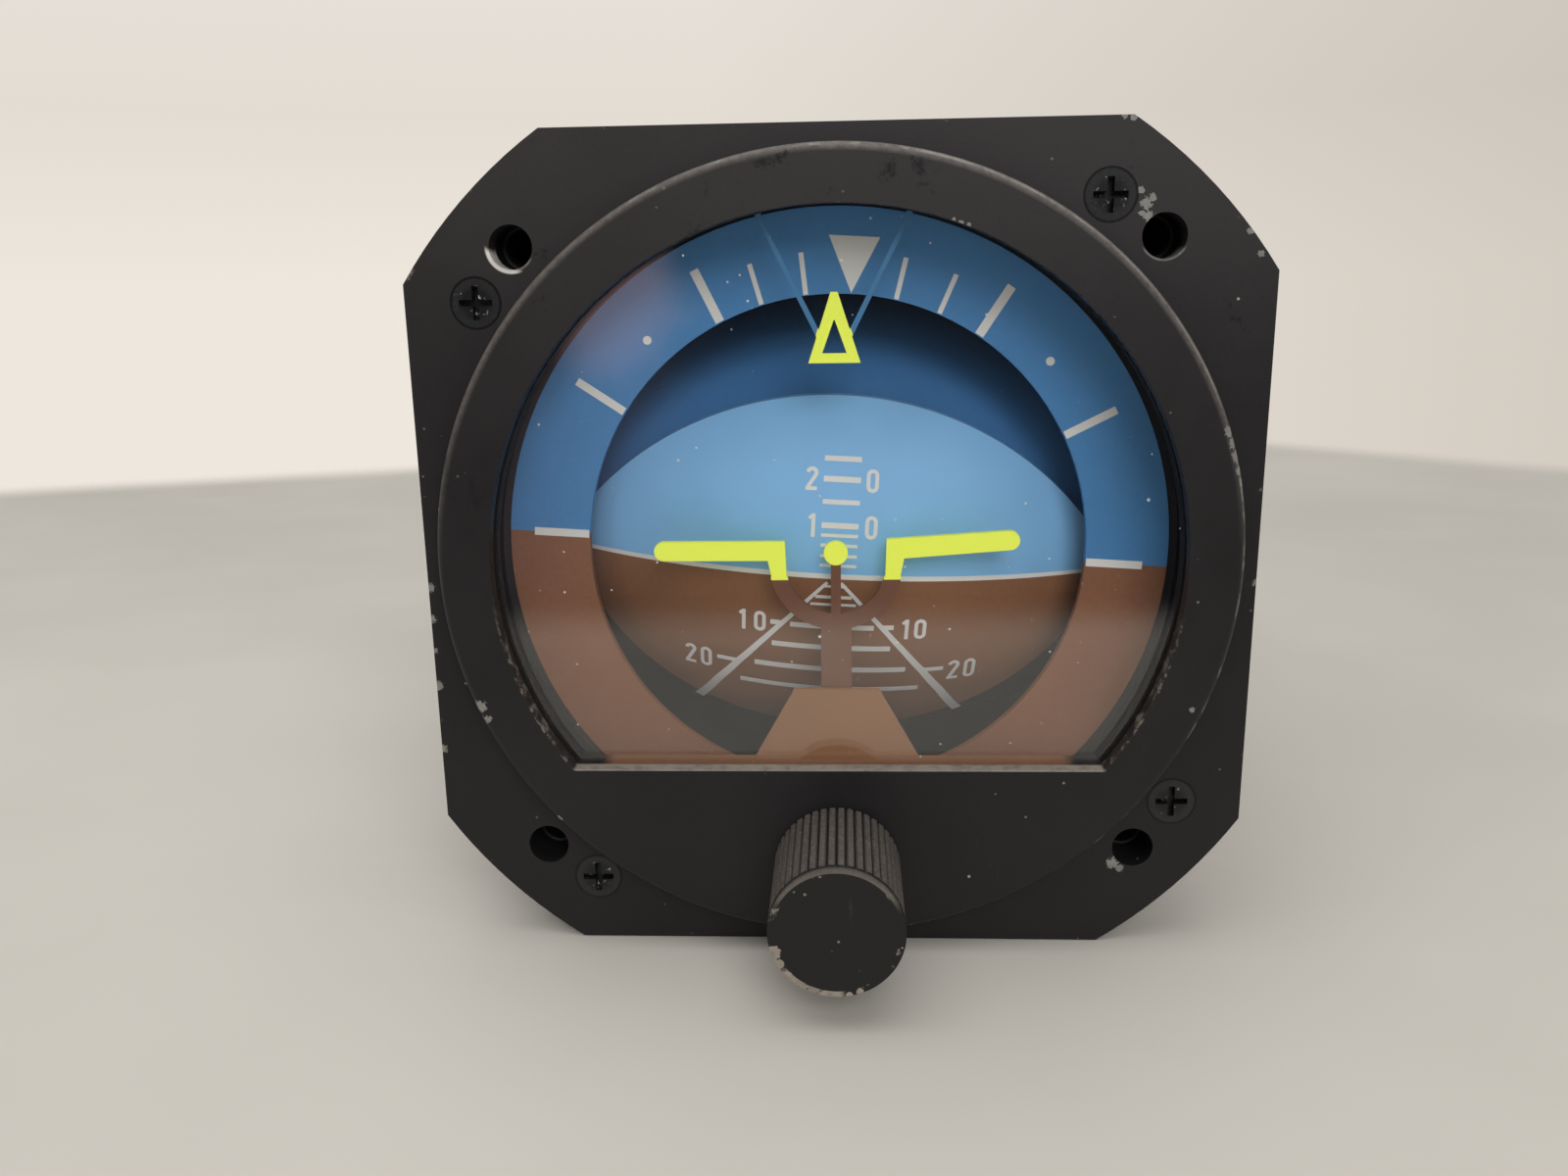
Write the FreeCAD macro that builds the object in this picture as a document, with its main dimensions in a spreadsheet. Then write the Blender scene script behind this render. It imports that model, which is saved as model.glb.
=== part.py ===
import FreeCAD, Part
import os
import re
import Sketcher

# Air-driven attitude indicator for a 3-1/8 inch panel hole.
# Frame: X to the viewer's right, Y into the instrument, Z up.  The origin lies on the case axis,
# in the front face of the mounting flange, at the centre of the four mounting holes.
# The roll frame turns about Y.  The rotor housing and the curved display both turn about axes that
# run across the roll frame, and a straight link with equal cranks keeps them parallel.

V = FreeCAD.Vector
doc = FreeCAD.newDocument("AttitudeIndicator")

# ---------------------------------------------------------------- driving dimensions (mm, degrees)
# A plain number drives the model.  Text is a formula on other sizes, so that pieces keep their fits.
SIZES = {
    # case barrel and the flange round it
    "case_radius": 39.2, "case_wall": 2.0, "case_bore": "case_radius - case_wall",
    "flange_edge": 3.15, "flange_half": "case_radius + flange_edge",
    "corner_edge": 11.6, "corner_radius": "case_radius + corner_edge",
    "bezel_plate": 2.5, "case_flange": 3.0, "hole_radius": 2.15, "hole_offset": 5.2523,
    "hole_spacing": "(case_radius + hole_offset) * sqrt(2)",
    "screw_offset": 4.7, "screw_circle": "case_radius + screw_offset", "screw_turn": 8.4,
    "screw_head": 2.55, "screw_shank": 1.3, "screw_head_depth": 1.25, "seat_gap": 0.05,
    "seal_width": 1.0, "seal_depth": 0.9,
    # raised boss, window, glass and its seat
    "boss_step": 1.2, "boss_radius": "case_radius + boss_step",
    "boss_height": 2.8, "boss_round": "boss_height * 0.32",
    "window_rim": 4.3, "window_radius": "case_radius - window_rim",
    "window_flat": "case_radius * 0.551", "window_lip": 1.5, "recess_margin": 1.6,
    "glass_thick": 2.0, "gasket_thick": 0.8,
    # attitude at rest
    "roll_rest": 3.3, "pitch_rest": 5.3,
    # roll frame: front ring, hoop, side rails
    "frame_gap": 1.0, "hoop_outer": "case_bore - frame_gap", "hoop_inner": "hoop_outer - 2.9",
    "hoop_thick": 3.0, "ring_front": 7.3, "ring_thick": 1.0, "ring_width": 8.6,
    "ring_outer": "hoop_outer - 1.1", "ring_inner": "ring_outer - ring_width",
    "rail_thick": 2.7, "rail_inner": "case_bore - 4.0", "rail_half": "race_radius + 1.5",
    "beam_thick": 4.0, "hub_radius": "shaft_radius + 4.5", "stay_screw": 0.8,
    # curved display, and the dome behind it
    "display_depth": "case_bore - 6.8", "display_curve": 60.0, "display_thick": 1.0,
    "display_stand": 1.7, "display_axis": "ring_front + display_depth - display_stand",
    "display_sweep": 150, "dome_sweep": 172,
    "display_top": "display_depth * 0.602", "display_bottom": "display_depth * 0.694",
    "top_arc": "display_depth * 1.171", "bottom_arc": "display_depth * 1.0526",
    "arm_thick": 1.0, "arm_half": 3.2, "race_collar": 0.8,
    "arm_gap": "2 * link_gap + link_thick + crank_thick + race_collar",
    "pivot_radius": 1.5, "running_gap": 0.05, "tail_length": 7.8,
    "dome_gap": 1.2, "dome_thick": 0.8, "cheek_gap": 0.5,
    "dome_half": "rail_inner - arm_gap - arm_thick - cheek_gap",
    "ear_front": "tail_length + 1.6", "ear_depth": 3.4,
    # link and cranks that keep the display parallel to the rotor housing
    "crank": 9.0, "link_length": 36.0, "link_thick": 0.8, "link_half": 1.8, "link_pin": 0.8,
    "link_gap": 0.25, "crank_thick": 0.7,
    # rotor housing
    "gyro_axis": "display_axis + link_length", "gyro_room": 8.0,
    "frame_end": "gyro_axis + housing_radius + gyro_room",
    "housing_radius": "rail_inner - 5.7", "housing_wall": 1.6, "housing_half": 16.4,
    "cover_thick": 1.6, "pad_reach": "housing_radius + 0.5",
    "trunnion_radius": 1.5, "trunnion_flange": "trunnion_radius + 2.5",
    "race_radius": "trunnion_radius + 2.5", "race_bore": "trunnion_radius + 0.9",
    "race_gap": 0.08, "rotor_gap": 0.9, "rotor_radius": "housing_radius - housing_wall - rotor_gap",
    "rotor_half": "housing_half - 5.4", "rotor_web": 4.0, "axle_radius": 2.0,
    "spin_race": "axle_radius + 2.5", "spin_width": 3.0, "bucket_count": 24,
    "bucket_radius": 1.9, "block_half": 9.0, "block_height": 10.0, "vane_thick": 0.9,
    "vane_half": 3.6, "vane_pin": 0.6, "air_hole": 1.4,
    # roll bearings and their carrier, air filter and ports, from the roll frame backwards
    "shaft_radius": 5.0, "shaft_bore": "shaft_radius - 1.8", "shaft_flange": 2.0,
    "bearing_outer": "shaft_radius + 4.5", "bearing_width": 5.0,
    "bearing_front": "frame_end + beam_thick + shaft_flange + 3.0",
    "bearing_span": 17.5, "bearing_rear": "bearing_front + bearing_span",
    "shaft_end": "bearing_rear + bearing_width + 2.5", "carrier_front": "bearing_front - 1.0",
    "case_end": "shaft_end + 6.5", "rear_wall": 3.5,
    "carrier_radius": "bearing_outer + 2.0", "carrier_flange": "carrier_radius + 4.5",
    "carrier_plate": 3.0, "washer_radius": "bearing_outer + 0.7", "washer_thick": 0.8,
    "filter_radius": "bearing_outer - 0.7", "filter_thick": 2.0,
    "cap_radius": "bearing_outer + 0.5", "cap_height": 4.0, "cap_flange": 0.8,
    "port_radius": 5.56, "port_wall": 3.0, "port_stand": 9.0,
    "port_offset": "carrier_flange + port_wall + port_radius + 0.44",
    "plug_length": 9.0, "plug_socket": "port_radius", "drive_depth": 5.0,
    # knob, spindle and its crank
    "knob_height": "7.0 - case_radius", "knob_radius": 6.6, "knob_reach": 17.6, "knob_gap": 0.5,
    "knurl_count": 44, "knurl_depth": 0.32, "spindle_radius": 1.6,
    "bush_radius": "spindle_radius + 1.4", "throw": 4.0, "throw_pin": 0.8, "slot_gap": 0.12,
    "arm_plane": "symbol_front + 2 * sheet_thick + 0.3", "arm_plate": 1.0,
    # aircraft symbol and its sliding carrier
    "symbol_front": 3.4, "sheet_thick": 0.8, "wing_tip": 18.0, "wing_root": 5.3,
    "wing_half": 1.0, "wing_height": 0.56, "wing_rise": 0.42, "wing_tilt": 0.38,
    "leg_width": 1.5, "leg_drop": -2.6, "dot_radius": 1.25, "dot_height": 0.22,
    "yoke_radius": "wing_root + 0.8", "yoke_half": 0.85, "yoke_height": -1.0, "stem_half": 1.62,
    "needle_half": 0.52, "symbol_travel": "0.6 * throw", "stem_end": "knob_height + 5.2",
    "carrier_top": "knob_height + 9.6", "post_radius": 1.0, "post_offset": 5.2,
    "post_height": "knob_height + 5.3", "post_depth": 1.5, "rivet_radius": 0.5,
    # shroud over the stem, and the pointer at the top
    "shroud_front": "bezel_plate", "shroud_thick": 0.6, "shroud_top": "knob_height + 17.9",
    "shroud_top_half": 4.5, "shroud_low": "knob_height + 6.8", "shroud_low_half": 10.6,
    "pointer_apex": "ring_inner + 0.2", "pointer_base": "ring_inner - 6.7", "pointer_half": 2.6,
    "pointer_stroke": 0.95, "stay_half": 0.25, "stay_foot": 7.4,
}

sheet = doc.addObject("Spreadsheet::Sheet", "Sizes")
for row, alias in enumerate(SIZES, start=1):
    sheet.set("A%d" % row, alias)
    sheet.setAlias("B%d" % row, alias)
for row, value in enumerate(SIZES.values(), start=1):
    sheet.set("B%d" % row, "=" + value if isinstance(value, str) else str(value))
doc.recompute()

WORD = re.compile(r"[A-Za-z_]+[A-Za-z_0-9]*")


def linked(text):
    """An expression in which every size name points at the sheet."""
    return WORD.sub(lambda m: "Sizes." + m.group(0) if m.group(0) in SIZES else m.group(0), str(text))


def bind(thing, prop, text):
    thing.setExpression(prop, linked(text))


def place(thing, at):
    for letter, text in zip("xyz", at):
        bind(thing, "Placement.Base." + letter, text)
    return thing


# ---------------------------------------------------------------- building blocks
TURNS = {
    "Z": FreeCAD.Rotation(),
    "Y": FreeCAD.Rotation(V(1, 0, 0), -90),
    "X": FreeCAD.Rotation(V(0, 1, 0), 90),
    "-X": FreeCAD.Rotation(V(0, 1, 0), -90),
    "-Z": FreeCAD.Rotation(V(1, 0, 0), 180),
}


def cylinder(name, radius, length, at=("0", "0", "0"), along="Y"):
    solid = doc.addObject("Part::Cylinder", name)
    solid.Placement = FreeCAD.Placement(V(), TURNS[along])
    bind(solid, "Radius", radius)
    bind(solid, "Height", length)
    return place(solid, at)


def cone(name, first, second, length, at, along="Y"):
    solid = doc.addObject("Part::Cone", name)
    solid.Placement = FreeCAD.Placement(V(), TURNS[along])
    bind(solid, "Radius1", first)
    bind(solid, "Radius2", second)
    bind(solid, "Height", length)
    return place(solid, at)


def block(name, size, corner):
    solid = doc.addObject("Part::Box", name)
    for prop, text in zip(("Length", "Width", "Height"), size):
        bind(solid, prop, text)
    return place(solid, corner)


def fused(name, *solids):
    join = doc.addObject("Part::MultiFuse", name)
    join.Shapes = list(solids)
    join.Refine = True
    return join


def cut(name, base, *tools):
    tool = tools[0] if len(tools) == 1 else fused(name + "_tools", *tools)
    result = doc.addObject("Part::Cut", name)
    result.Base = base
    result.Tool = tool
    return result


def common(name, first, second):
    result = doc.addObject("Part::Common", name)
    result.Base = first
    result.Tool = second
    return result


def group(name, *solids):
    result = doc.addObject("Part::Compound", name)
    result.Links = list(solids)
    return result


def origin_plane(body, role):
    return [item for item in body.Origin.OriginFeatures if item.Role == role][0]


def new_sketch(body, role):
    sketch = body.newObject("Sketcher::SketchObject", body.Name + "_sketch")
    sketch.AttachmentSupport = [(origin_plane(body, role), "")]
    sketch.MapMode = "FlatFace"
    return sketch


def pin_point(sketch, element, vertex, at, label):
    """Hold one vertex of a sketch at two named distances from the sketch's origin."""
    for kind, letter, text in (("DistanceX", "u", at[0]), ("DistanceY", "v", at[1])):
        value = sketch.evalExpression(linked(text))
        number = value.Value if hasattr(value, "Value") else float(value)
        index = sketch.addConstraint(Sketcher.Constraint(kind, -1, 1, element, vertex, number))
        title = "%s_%s" % (label, letter)
        sketch.renameConstraint(index, title)
        bind(sketch, "Constraints." + title, text)


def draw_loop(sketch, points, label):
    """A closed outline of straight sides, each corner held by named distances."""
    spots = []
    for at in points:
        pair = [sketch.evalExpression(linked(text)) for text in at]
        pair = [item.Value if hasattr(item, "Value") else float(item) for item in pair]
        spots.append(V(pair[0], pair[1], 0))
    first = sketch.GeometryCount
    count = len(spots)
    for i in range(count):
        sketch.addGeometry(Part.LineSegment(spots[i], spots[(i + 1) % count]), False)
    for i in range(count):
        following = first + (i + 1) % count
        sketch.addConstraint(Sketcher.Constraint("Coincident", first + i, 2, following, 1))
    for i in range(count):
        pin_point(sketch, first + i, 1, points[i], "%s%d" % (label, i))


def turned(name, points, axis="V_Axis"):
    """A solid of revolution: (radius, depth) about Y, or (width, radius) about X with H_Axis."""
    body = doc.addObject("PartDesign::Body", name)
    sketch = new_sketch(body, "XY_Plane")
    draw_loop(sketch, points, "p")
    turn = body.newObject("PartDesign::Revolution", name + "_turn")
    turn.Profile = sketch
    turn.ReferenceAxis = (sketch, [axis])
    turn.Angle = 360
    return body


def plate(name, front, thick, *loops):
    """A flat plate seen from the front: outlines of (x, z) corners, the first one outside."""
    body = doc.addObject("PartDesign::Body", name)
    sketch = new_sketch(body, "XZ_Plane")
    bind(sketch, "AttachmentOffset.Base.z", "-(%s)" % front)
    for number, loop in enumerate(loops):
        draw_loop(sketch, loop, "abc"[number])
    pad = body.newObject("PartDesign::Pad", name + "_pad")
    pad.Profile = sketch
    pad.Reversed = True
    bind(pad, "Length", thick)
    return body


def barrel(name, depth, curve, half, thick, sweep):
    """A shell turned about X, bowed forwards: its profile is an arc, and it faces -Y."""
    body = doc.addObject("PartDesign::Body", name)
    sketch = new_sketch(body, "XY_Plane")
    reach = sketch.evalExpression(linked(half))
    reach = reach.Value if hasattr(reach, "Value") else float(reach)
    deep = float(sketch.evalExpression(linked(depth)))
    bow = float(sketch.evalExpression(linked(curve)))
    shell = float(sketch.evalExpression(linked(thick)))
    centre = V(0, bow - deep, 0)
    for radius in (bow, bow - shell):
        rise = (radius * radius - reach * reach) ** 0.5
        circle = Part.Circle(centre, V(0, 0, 1), radius)
        start = circle.parameter(V(-reach, centre.y - rise, 0))
        end = circle.parameter(V(reach, centre.y - rise, 0))
        sketch.addGeometry(Part.ArcOfCircle(circle, start, end), False)
    for vertex in (1, 2):
        ends = [sketch.getPoint(arc, vertex) for arc in (0, 1)]
        sketch.addGeometry(Part.LineSegment(ends[0], ends[1]), False)
        line = sketch.GeometryCount - 1
        sketch.addConstraint(Sketcher.Constraint("Coincident", line, 1, 0, vertex))
        sketch.addConstraint(Sketcher.Constraint("Coincident", line, 2, 1, vertex))
    sketch.addConstraint(Sketcher.Constraint("Coincident", 0, 3, 1, 3))
    pin_point(sketch, 0, 3, ("0", "%s - (%s)" % (curve, depth)), "centre")
    for arc, text in ((0, curve), (1, "%s - (%s)" % (curve, thick))):
        value = bow if arc == 0 else bow - shell
        index = sketch.addConstraint(Sketcher.Constraint("Radius", arc, value))
        sketch.renameConstraint(index, "bow%d" % arc)
        bind(sketch, "Constraints.bow%d" % arc, text)
        for vertex, sign in ((1, "-"), (2, "")):
            index = sketch.addConstraint(
                Sketcher.Constraint("DistanceX", -1, 1, arc, vertex, float(sign + "1") * reach))
            title = "end%d%d" % (arc, vertex)
            sketch.renameConstraint(index, title)
            bind(sketch, "Constraints." + title, "%s(%s)" % (sign, half))
    turn = body.newObject("PartDesign::Revolution", name + "_turn")
    turn.Profile = sketch
    turn.ReferenceAxis = (sketch, ["H_Axis"])
    turn.Midplane = True
    bind(turn, "Angle", sweep)
    return body


def d_disc(name, radius, flat, front, thick):
    """A disc along Y with its bottom cut level."""
    disc = cylinder(name + "_disc", radius, thick, ("0", front, "0"))
    size = ("2 * (%s)" % radius, thick, "%s + %s" % (radius, flat))
    keep = block(name + "_keep", size, ("-(%s)" % radius, front, "-(%s)" % flat))
    return common(name, disc, keep)


NODES = {}


def node(name, solid):
    """A finished piece that stands still."""
    solid.Label = name
    NODES[name] = solid
    return solid


def rolled(name, solid):
    """A finished piece of the roll frame."""
    solid.Placement = FreeCAD.Placement(V(), FreeCAD.Rotation(V(0, 1, 0), SIZES["roll_rest"]))
    bind(solid, "Placement.Rotation.Angle", "roll_rest")
    return node(name, solid)


def pitched(name, solid, axis):
    """A finished piece drawn about its own pitch axis, tipped, moved back and rolled."""
    solid.Placement = FreeCAD.Placement(V(), FreeCAD.Rotation(V(1, 0, 0), SIZES["pitch_rest"]))
    bind(solid, "Placement.Rotation.Angle", "pitch_rest")
    bind(solid, "Placement.Base.y", axis)
    return rolled(name, group(name + "_tipped", solid))


FOUR_CORNERS = [(1, 1), (-1, 1), (-1, -1), (1, -1)]
SCREW_ANGLES = ["45 + screw_turn + %d" % (90 * i) for i in range(4)]


def on_circle(radius, angle):
    return "(%s) * cos(%s)" % (radius, angle), "(%s) * sin(%s)" % (radius, angle)


POST_X = "post_offset"
POST_Z = "post_height"


# ---------------------------------------------------------------- bezel, glass and its seat
def flange_plate(name, front, thick):
    """Square with its corners cut by a circle, as the flange of a round panel instrument."""
    square = block(name + "_square", ("2 * flange_half", thick, "2 * flange_half"),
                   ("-flange_half", front, "-flange_half"))
    disc = cylinder(name + "_round", "corner_radius", thick, ("0", front, "0"))
    return common(name, square, disc)


def mounting_holes(name, front, depth):
    return [cylinder("%s_hole%d" % (name, i), "hole_radius", depth,
                     ("%d * hole_spacing / 2" % sx, front, "%d * hole_spacing / 2" % sz))
            for i, (sx, sz) in enumerate(FOUR_CORNERS)]


def make_bezel():
    body = doc.addObject("PartDesign::Body", "boss")
    sketch = new_sketch(body, "XZ_Plane")
    sketch.addGeometry(Part.Circle(V(), V(0, 0, 1), sheet.get("boss_radius")), False)
    sketch.addConstraint(Sketcher.Constraint("Coincident", 0, 3, -1, 1))
    sketch.addConstraint(Sketcher.Constraint("Radius", 0, sheet.get("boss_radius")))
    bind(sketch, "Constraints[1]", "boss_radius")
    pad = body.newObject("PartDesign::Pad", "boss_pad")
    pad.Profile = sketch
    bind(pad, "Length", "boss_height")
    doc.recompute()
    rim = [i for i, edge in enumerate(pad.Shape.Edges, start=1)
           if edge.BoundBox.YMax < -SIZES["boss_height"] / 2][0]
    round_edge = body.newObject("PartDesign::Fillet", "boss_rim")
    round_edge.Base = (pad, ["Edge%d" % rim])
    bind(round_edge, "Radius", "boss_round")
    blank = fused("bezel_blank", flange_plate("bezel_plate_blank", "0", "bezel_plate"), body)
    window = d_disc("window", "window_radius", "window_flat", "-boss_height - 1", "window_lip + 2")
    recess = d_disc("glass_recess", "window_radius + recess_margin", "window_flat + recess_margin",
                    "window_lip - boss_height", "boss_height - window_lip + bezel_plate + 1")
    tools = [window, recess] + mounting_holes("bezel", "-1", "bezel_plate + 2")
    for i, angle in enumerate(SCREW_ANGLES):
        x, z = on_circle("screw_circle", angle)
        tools.append(cone("bezel_sink%d" % i, "screw_head + seat_gap", "screw_shank + seat_gap",
                          "screw_head_depth", (x, "0", z)))
        tools.append(cylinder("bezel_bore%d" % i, "screw_shank + seat_gap", "bezel_plate + 1",
                              (x, "0", z)))
    for i, x in enumerate((POST_X, "-(%s)" % POST_X)):
        tools.append(cylinder("post_hole%d" % i, "post_radius", "bezel_plate",
                              (x, "bezel_plate - post_depth", POST_Z)))
    tools.append(cylinder("bush_hole", "bush_radius", "boss_height + bezel_plate + 2",
                          ("0", "-boss_height - 1", "knob_height")))
    node("bezel", cut("bezel_body", blank, *tools))


def make_bezel_screws():
    screws = []
    for i, angle in enumerate(SCREW_ANGLES):
        x, z = on_circle("screw_circle", angle)
        head = cone("screw_head%d" % i, "screw_head", "screw_shank", "screw_head_depth",
                    (x, "0", z))
        shank = cylinder("screw_shank%d" % i, "screw_shank", "bezel_plate + case_flange - 0.3",
                         (x, "0", z))
        solid = fused("screw_blank%d" % i, head, shank)
        slots = []
        for n, (wide, tall) in enumerate((("1.3", "0.25"), ("0.25", "1.3"))):
            slots.append(block("screw_slot%d_%d" % (i, n),
                               ("2 * screw_head * %s / 2" % wide, "screw_head_depth",
                                "2 * screw_head * %s / 2" % tall),
                               ("%s - screw_head * %s / 2" % (x, wide), "-0.2",
                                "%s - screw_head * %s / 2" % (z, tall))))
        screws.append(cut("screw%d" % i, solid, *slots))
    node("bezel_screws", group("bezel_screws_all", *screws))


GLASS_FRONT = "window_lip - boss_height"
GASKET_FRONT = "window_lip - boss_height + glass_thick"
RETAINER_FRONT = GASKET_FRONT + " + gasket_thick"
RECESS = "window_radius + recess_margin - seat_gap"
RECESS_FLAT = "window_flat + recess_margin - seat_gap"


def d_ring(name, front, thick):
    outer = d_disc(name + "_outer", RECESS, RECESS_FLAT, front, thick)
    inner = d_disc(name + "_inner", "window_radius + 0.1", "window_flat + 0.1", front, thick)
    return cut(name + "_ring", outer, inner)


def make_glass():
    node("cover_glass", d_disc("glass", RECESS, RECESS_FLAT, GLASS_FRONT, "glass_thick"))
    node("glass_gasket", d_ring("gasket", GASKET_FRONT, "gasket_thick"))
    thick = "bezel_plate - (%s)" % RETAINER_FRONT
    node("glass_retainer", d_ring("retainer", RETAINER_FRONT, thick))


# ---------------------------------------------------------------- case
BORE = "case_bore"
CASE_FRONT = "bezel_plate"


def make_case():
    cup = turned("case_cup", [
        (BORE, CASE_FRONT), ("case_radius", CASE_FRONT), ("case_radius", "case_end - 1.5"),
        ("case_radius - 1.5", "case_end"), ("0", "case_end"), ("0", "case_end - rear_wall"),
        (BORE + " - 1.5", "case_end - rear_wall"), (BORE, "case_end - rear_wall - 1.5")])
    flange = flange_plate("case_flange_blank", CASE_FRONT, "case_flange")
    opening = cylinder("case_opening", BORE, "case_flange", ("0", CASE_FRONT, "0"))
    bosses = [cylinder("port_boss%d" % i, "port_radius + port_wall", "port_stand + rear_wall",
                       ("%d * port_offset" % side, "case_end - rear_wall", "0"))
              for i, side in enumerate((1, -1))]
    blank = fused("case_blank", cup, cut("case_flange_ring", flange, opening), *bosses)
    tools = mounting_holes("case", CASE_FRONT + " - 1", "case_flange + 2")
    for i, angle in enumerate(SCREW_ANGLES):
        x, z = on_circle("screw_circle", angle)
        tools.append(cylinder("case_tap%d" % i, "screw_shank", "case_flange + 2",
                              (x, CASE_FRONT + " - 1", z)))
    for i, side in enumerate((1, -1)):
        tools.append(cylinder("port_hole%d" % i, "port_radius", "port_stand + rear_wall + 2",
                              ("%d * port_offset" % side, "case_end - rear_wall - 1", "0")))
    tools.append(cylinder("carrier_hole", "carrier_radius + seat_gap", "rear_wall + 2",
                          ("0", "case_end - rear_wall - 1", "0")))
    for i, angle in enumerate(range(45, 405, 90)):
        x, z = on_circle("(carrier_radius + carrier_flange) / 2", angle)
        tools.append(cylinder("carrier_tap%d" % i, "1.0", "rear_wall + 2",
                              (x, "case_end - rear_wall - 1", z)))
    groove = turned("seal_groove", seal_section("0"))
    node("case", cut("case_body", blank, groove, *tools))
    node("front_seal", turned("front_seal_ring", seal_section("seat_gap")))


def seal_section(gap):
    inner = "case_radius - seal_width + %s" % gap
    outer = "case_radius - %s" % gap
    back = CASE_FRONT + " + seal_depth"
    return [(inner, CASE_FRONT), (outer, CASE_FRONT), (outer, back), (inner, back)]


def make_ports():
    plug = turned("plug_blank", [
        ("0", "0"), ("port_radius - seat_gap", "0"), ("port_radius - seat_gap", "-plug_length"),
        ("0", "-plug_length")])
    bind(plug, "Placement.Base.x", "-port_offset")
    bind(plug, "Placement.Base.y", "case_end + port_stand + 1.5")
    socket = block("plug_drive", ("plug_socket", "drive_depth + 1", "plug_socket"),
                   ("-port_offset - plug_socket / 2", "case_end + port_stand + 1.5 - drive_depth",
                    "-plug_socket / 2"))
    node("port_plug", cut("plug_body", plug, socket))


# ---------------------------------------------------------------- roll frame
RAIL_OUT = "rail_inner + rail_thick"
HOOP_FRONT = "ring_front + ring_thick"
HOOP_BACK = "ring_front + ring_thick + hoop_thick"
BEAM_BACK = "frame_end + beam_thick"


def make_roll_ring():
    ring = turned("ring_blank", [
        ("ring_inner", "ring_front"), ("ring_outer", "ring_front"),
        ("ring_outer", HOOP_FRONT), ("ring_inner", HOOP_FRONT)])
    rolled("roll_ring", ring)
    screws = []
    for i, angle in enumerate((17, 163, 197, 343)):
        x, z = on_circle("(hoop_inner + ring_outer) / 2", angle)
        shank = cylinder("ring_rivet%d" % i, "0.5", "1.5", (x, HOOP_FRONT, z))
        screws.append(shank)
    rolled("ring_rivets", group("ring_rivets_all", *screws))
    return screws


def rail(side):
    """One side rail: a long plate with pads at both pitch axes and lightening slots between."""
    low = "rail_inner" if side > 0 else "-(%s)" % RAIL_OUT
    tag = "right" if side > 0 else "left"
    bar = block("rail_" + tag, ("rail_thick", "frame_end - (%s) + beam_thick" % HOOP_FRONT,
                                "2 * rail_half"),
                (low, HOOP_FRONT, "-rail_half"))
    slots = []
    spans = [("display_axis - 15", "display_axis - 6"),
             ("display_axis + ear_front + ear_depth + 3", "gyro_axis - 9"),
             ("gyro_axis + 9", "frame_end - 5")]
    for n, (start, end) in enumerate(spans):
        name = "slot_%s%d" % (tag, n)
        ends = [cylinder("%s_end%d" % (name, k), "rail_half - 2.7", "rail_thick + 2",
                         (low + " - 1", at, "0"), "X") for k, at in enumerate((start, end))]
        middle = block(name + "_mid", ("rail_thick + 2", "(%s) - (%s)" % (end, start),
                                       "2 * (rail_half - 2.7)"),
                       (low + " - 1", start, "2.7 - rail_half"))
        slots += [middle] + ends
    slots.append(cylinder("pivot_hole_" + tag, "pivot_radius", "rail_thick + 2",
                          (low + " - 1", "display_axis", "0"), "X"))
    slots.append(cylinder("race_hole_" + tag, "race_radius", "rail_thick + 2",
                          (low + " - 1", "gyro_axis", "0"), "X"))
    for k, z in enumerate(("-3.2", "-0.8")):
        slots.append(cylinder("stay_hole_%s%d" % (tag, k), "stay_screw", "rail_thick + 2",
                              (low + " - 1", STAY_Y, z), "X"))
    return cut("rail_cut_" + tag, bar, *slots)


STAY_Y = "display_axis + ear_front + ear_depth / 2"


def make_outer_gimbal(rivets):
    hoop = turned("hoop", [("hoop_inner", HOOP_FRONT), ("hoop_outer", HOOP_FRONT),
                           ("hoop_outer", HOOP_BACK), ("hoop_inner", HOOP_BACK)])
    beam = block("beam", ("2 * (%s)" % RAIL_OUT, "beam_thick", "2 * rail_half"),
                 ("-(%s)" % RAIL_OUT, "frame_end", "-rail_half"))
    hub = cylinder("beam_hub", "hub_radius", "beam_thick", ("0", "frame_end", "0"))
    frame = fused("gimbal_blank", hoop, beam, hub, rail(1), rail(-1))
    air = cylinder("beam_air", "shaft_bore", "beam_thick + 2", ("0", "frame_end - 1", "0"))
    taps = [cylinder("shaft_tap%d" % i, "0.9", "beam_thick + 2",
                     on_circle("hub_radius - 2", angle)[:1] + ("frame_end - 1",)
                     + on_circle("hub_radius - 2", angle)[1:])
            for i, angle in enumerate((60, 120, 240, 300))]
    studs = []
    weights = []
    for i, side in enumerate((1, -1)):
        x = "%d * (rail_inner - 13)" % side
        studs.append(cylinder("weight_hole%d" % i, "1.0", "beam_thick + 2",
                              (x, "frame_end - 1", "0")))
        disc = cylinder("weight_disc%d" % i, "rail_half - 1", "3", (x, "frame_end - 3", "0"))
        stud = cylinder("weight_stud%d" % i, "1.0", "beam_thick", (x, "frame_end", "0"))
        weights.append(fused("weight%d" % i, disc, stud))
    rolled("roll_balance_weights", group("balance_weight_pair", *weights))
    rolled("outer_gimbal", cut("gimbal_body", frame, air, *(taps + rivets + studs)))


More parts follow.
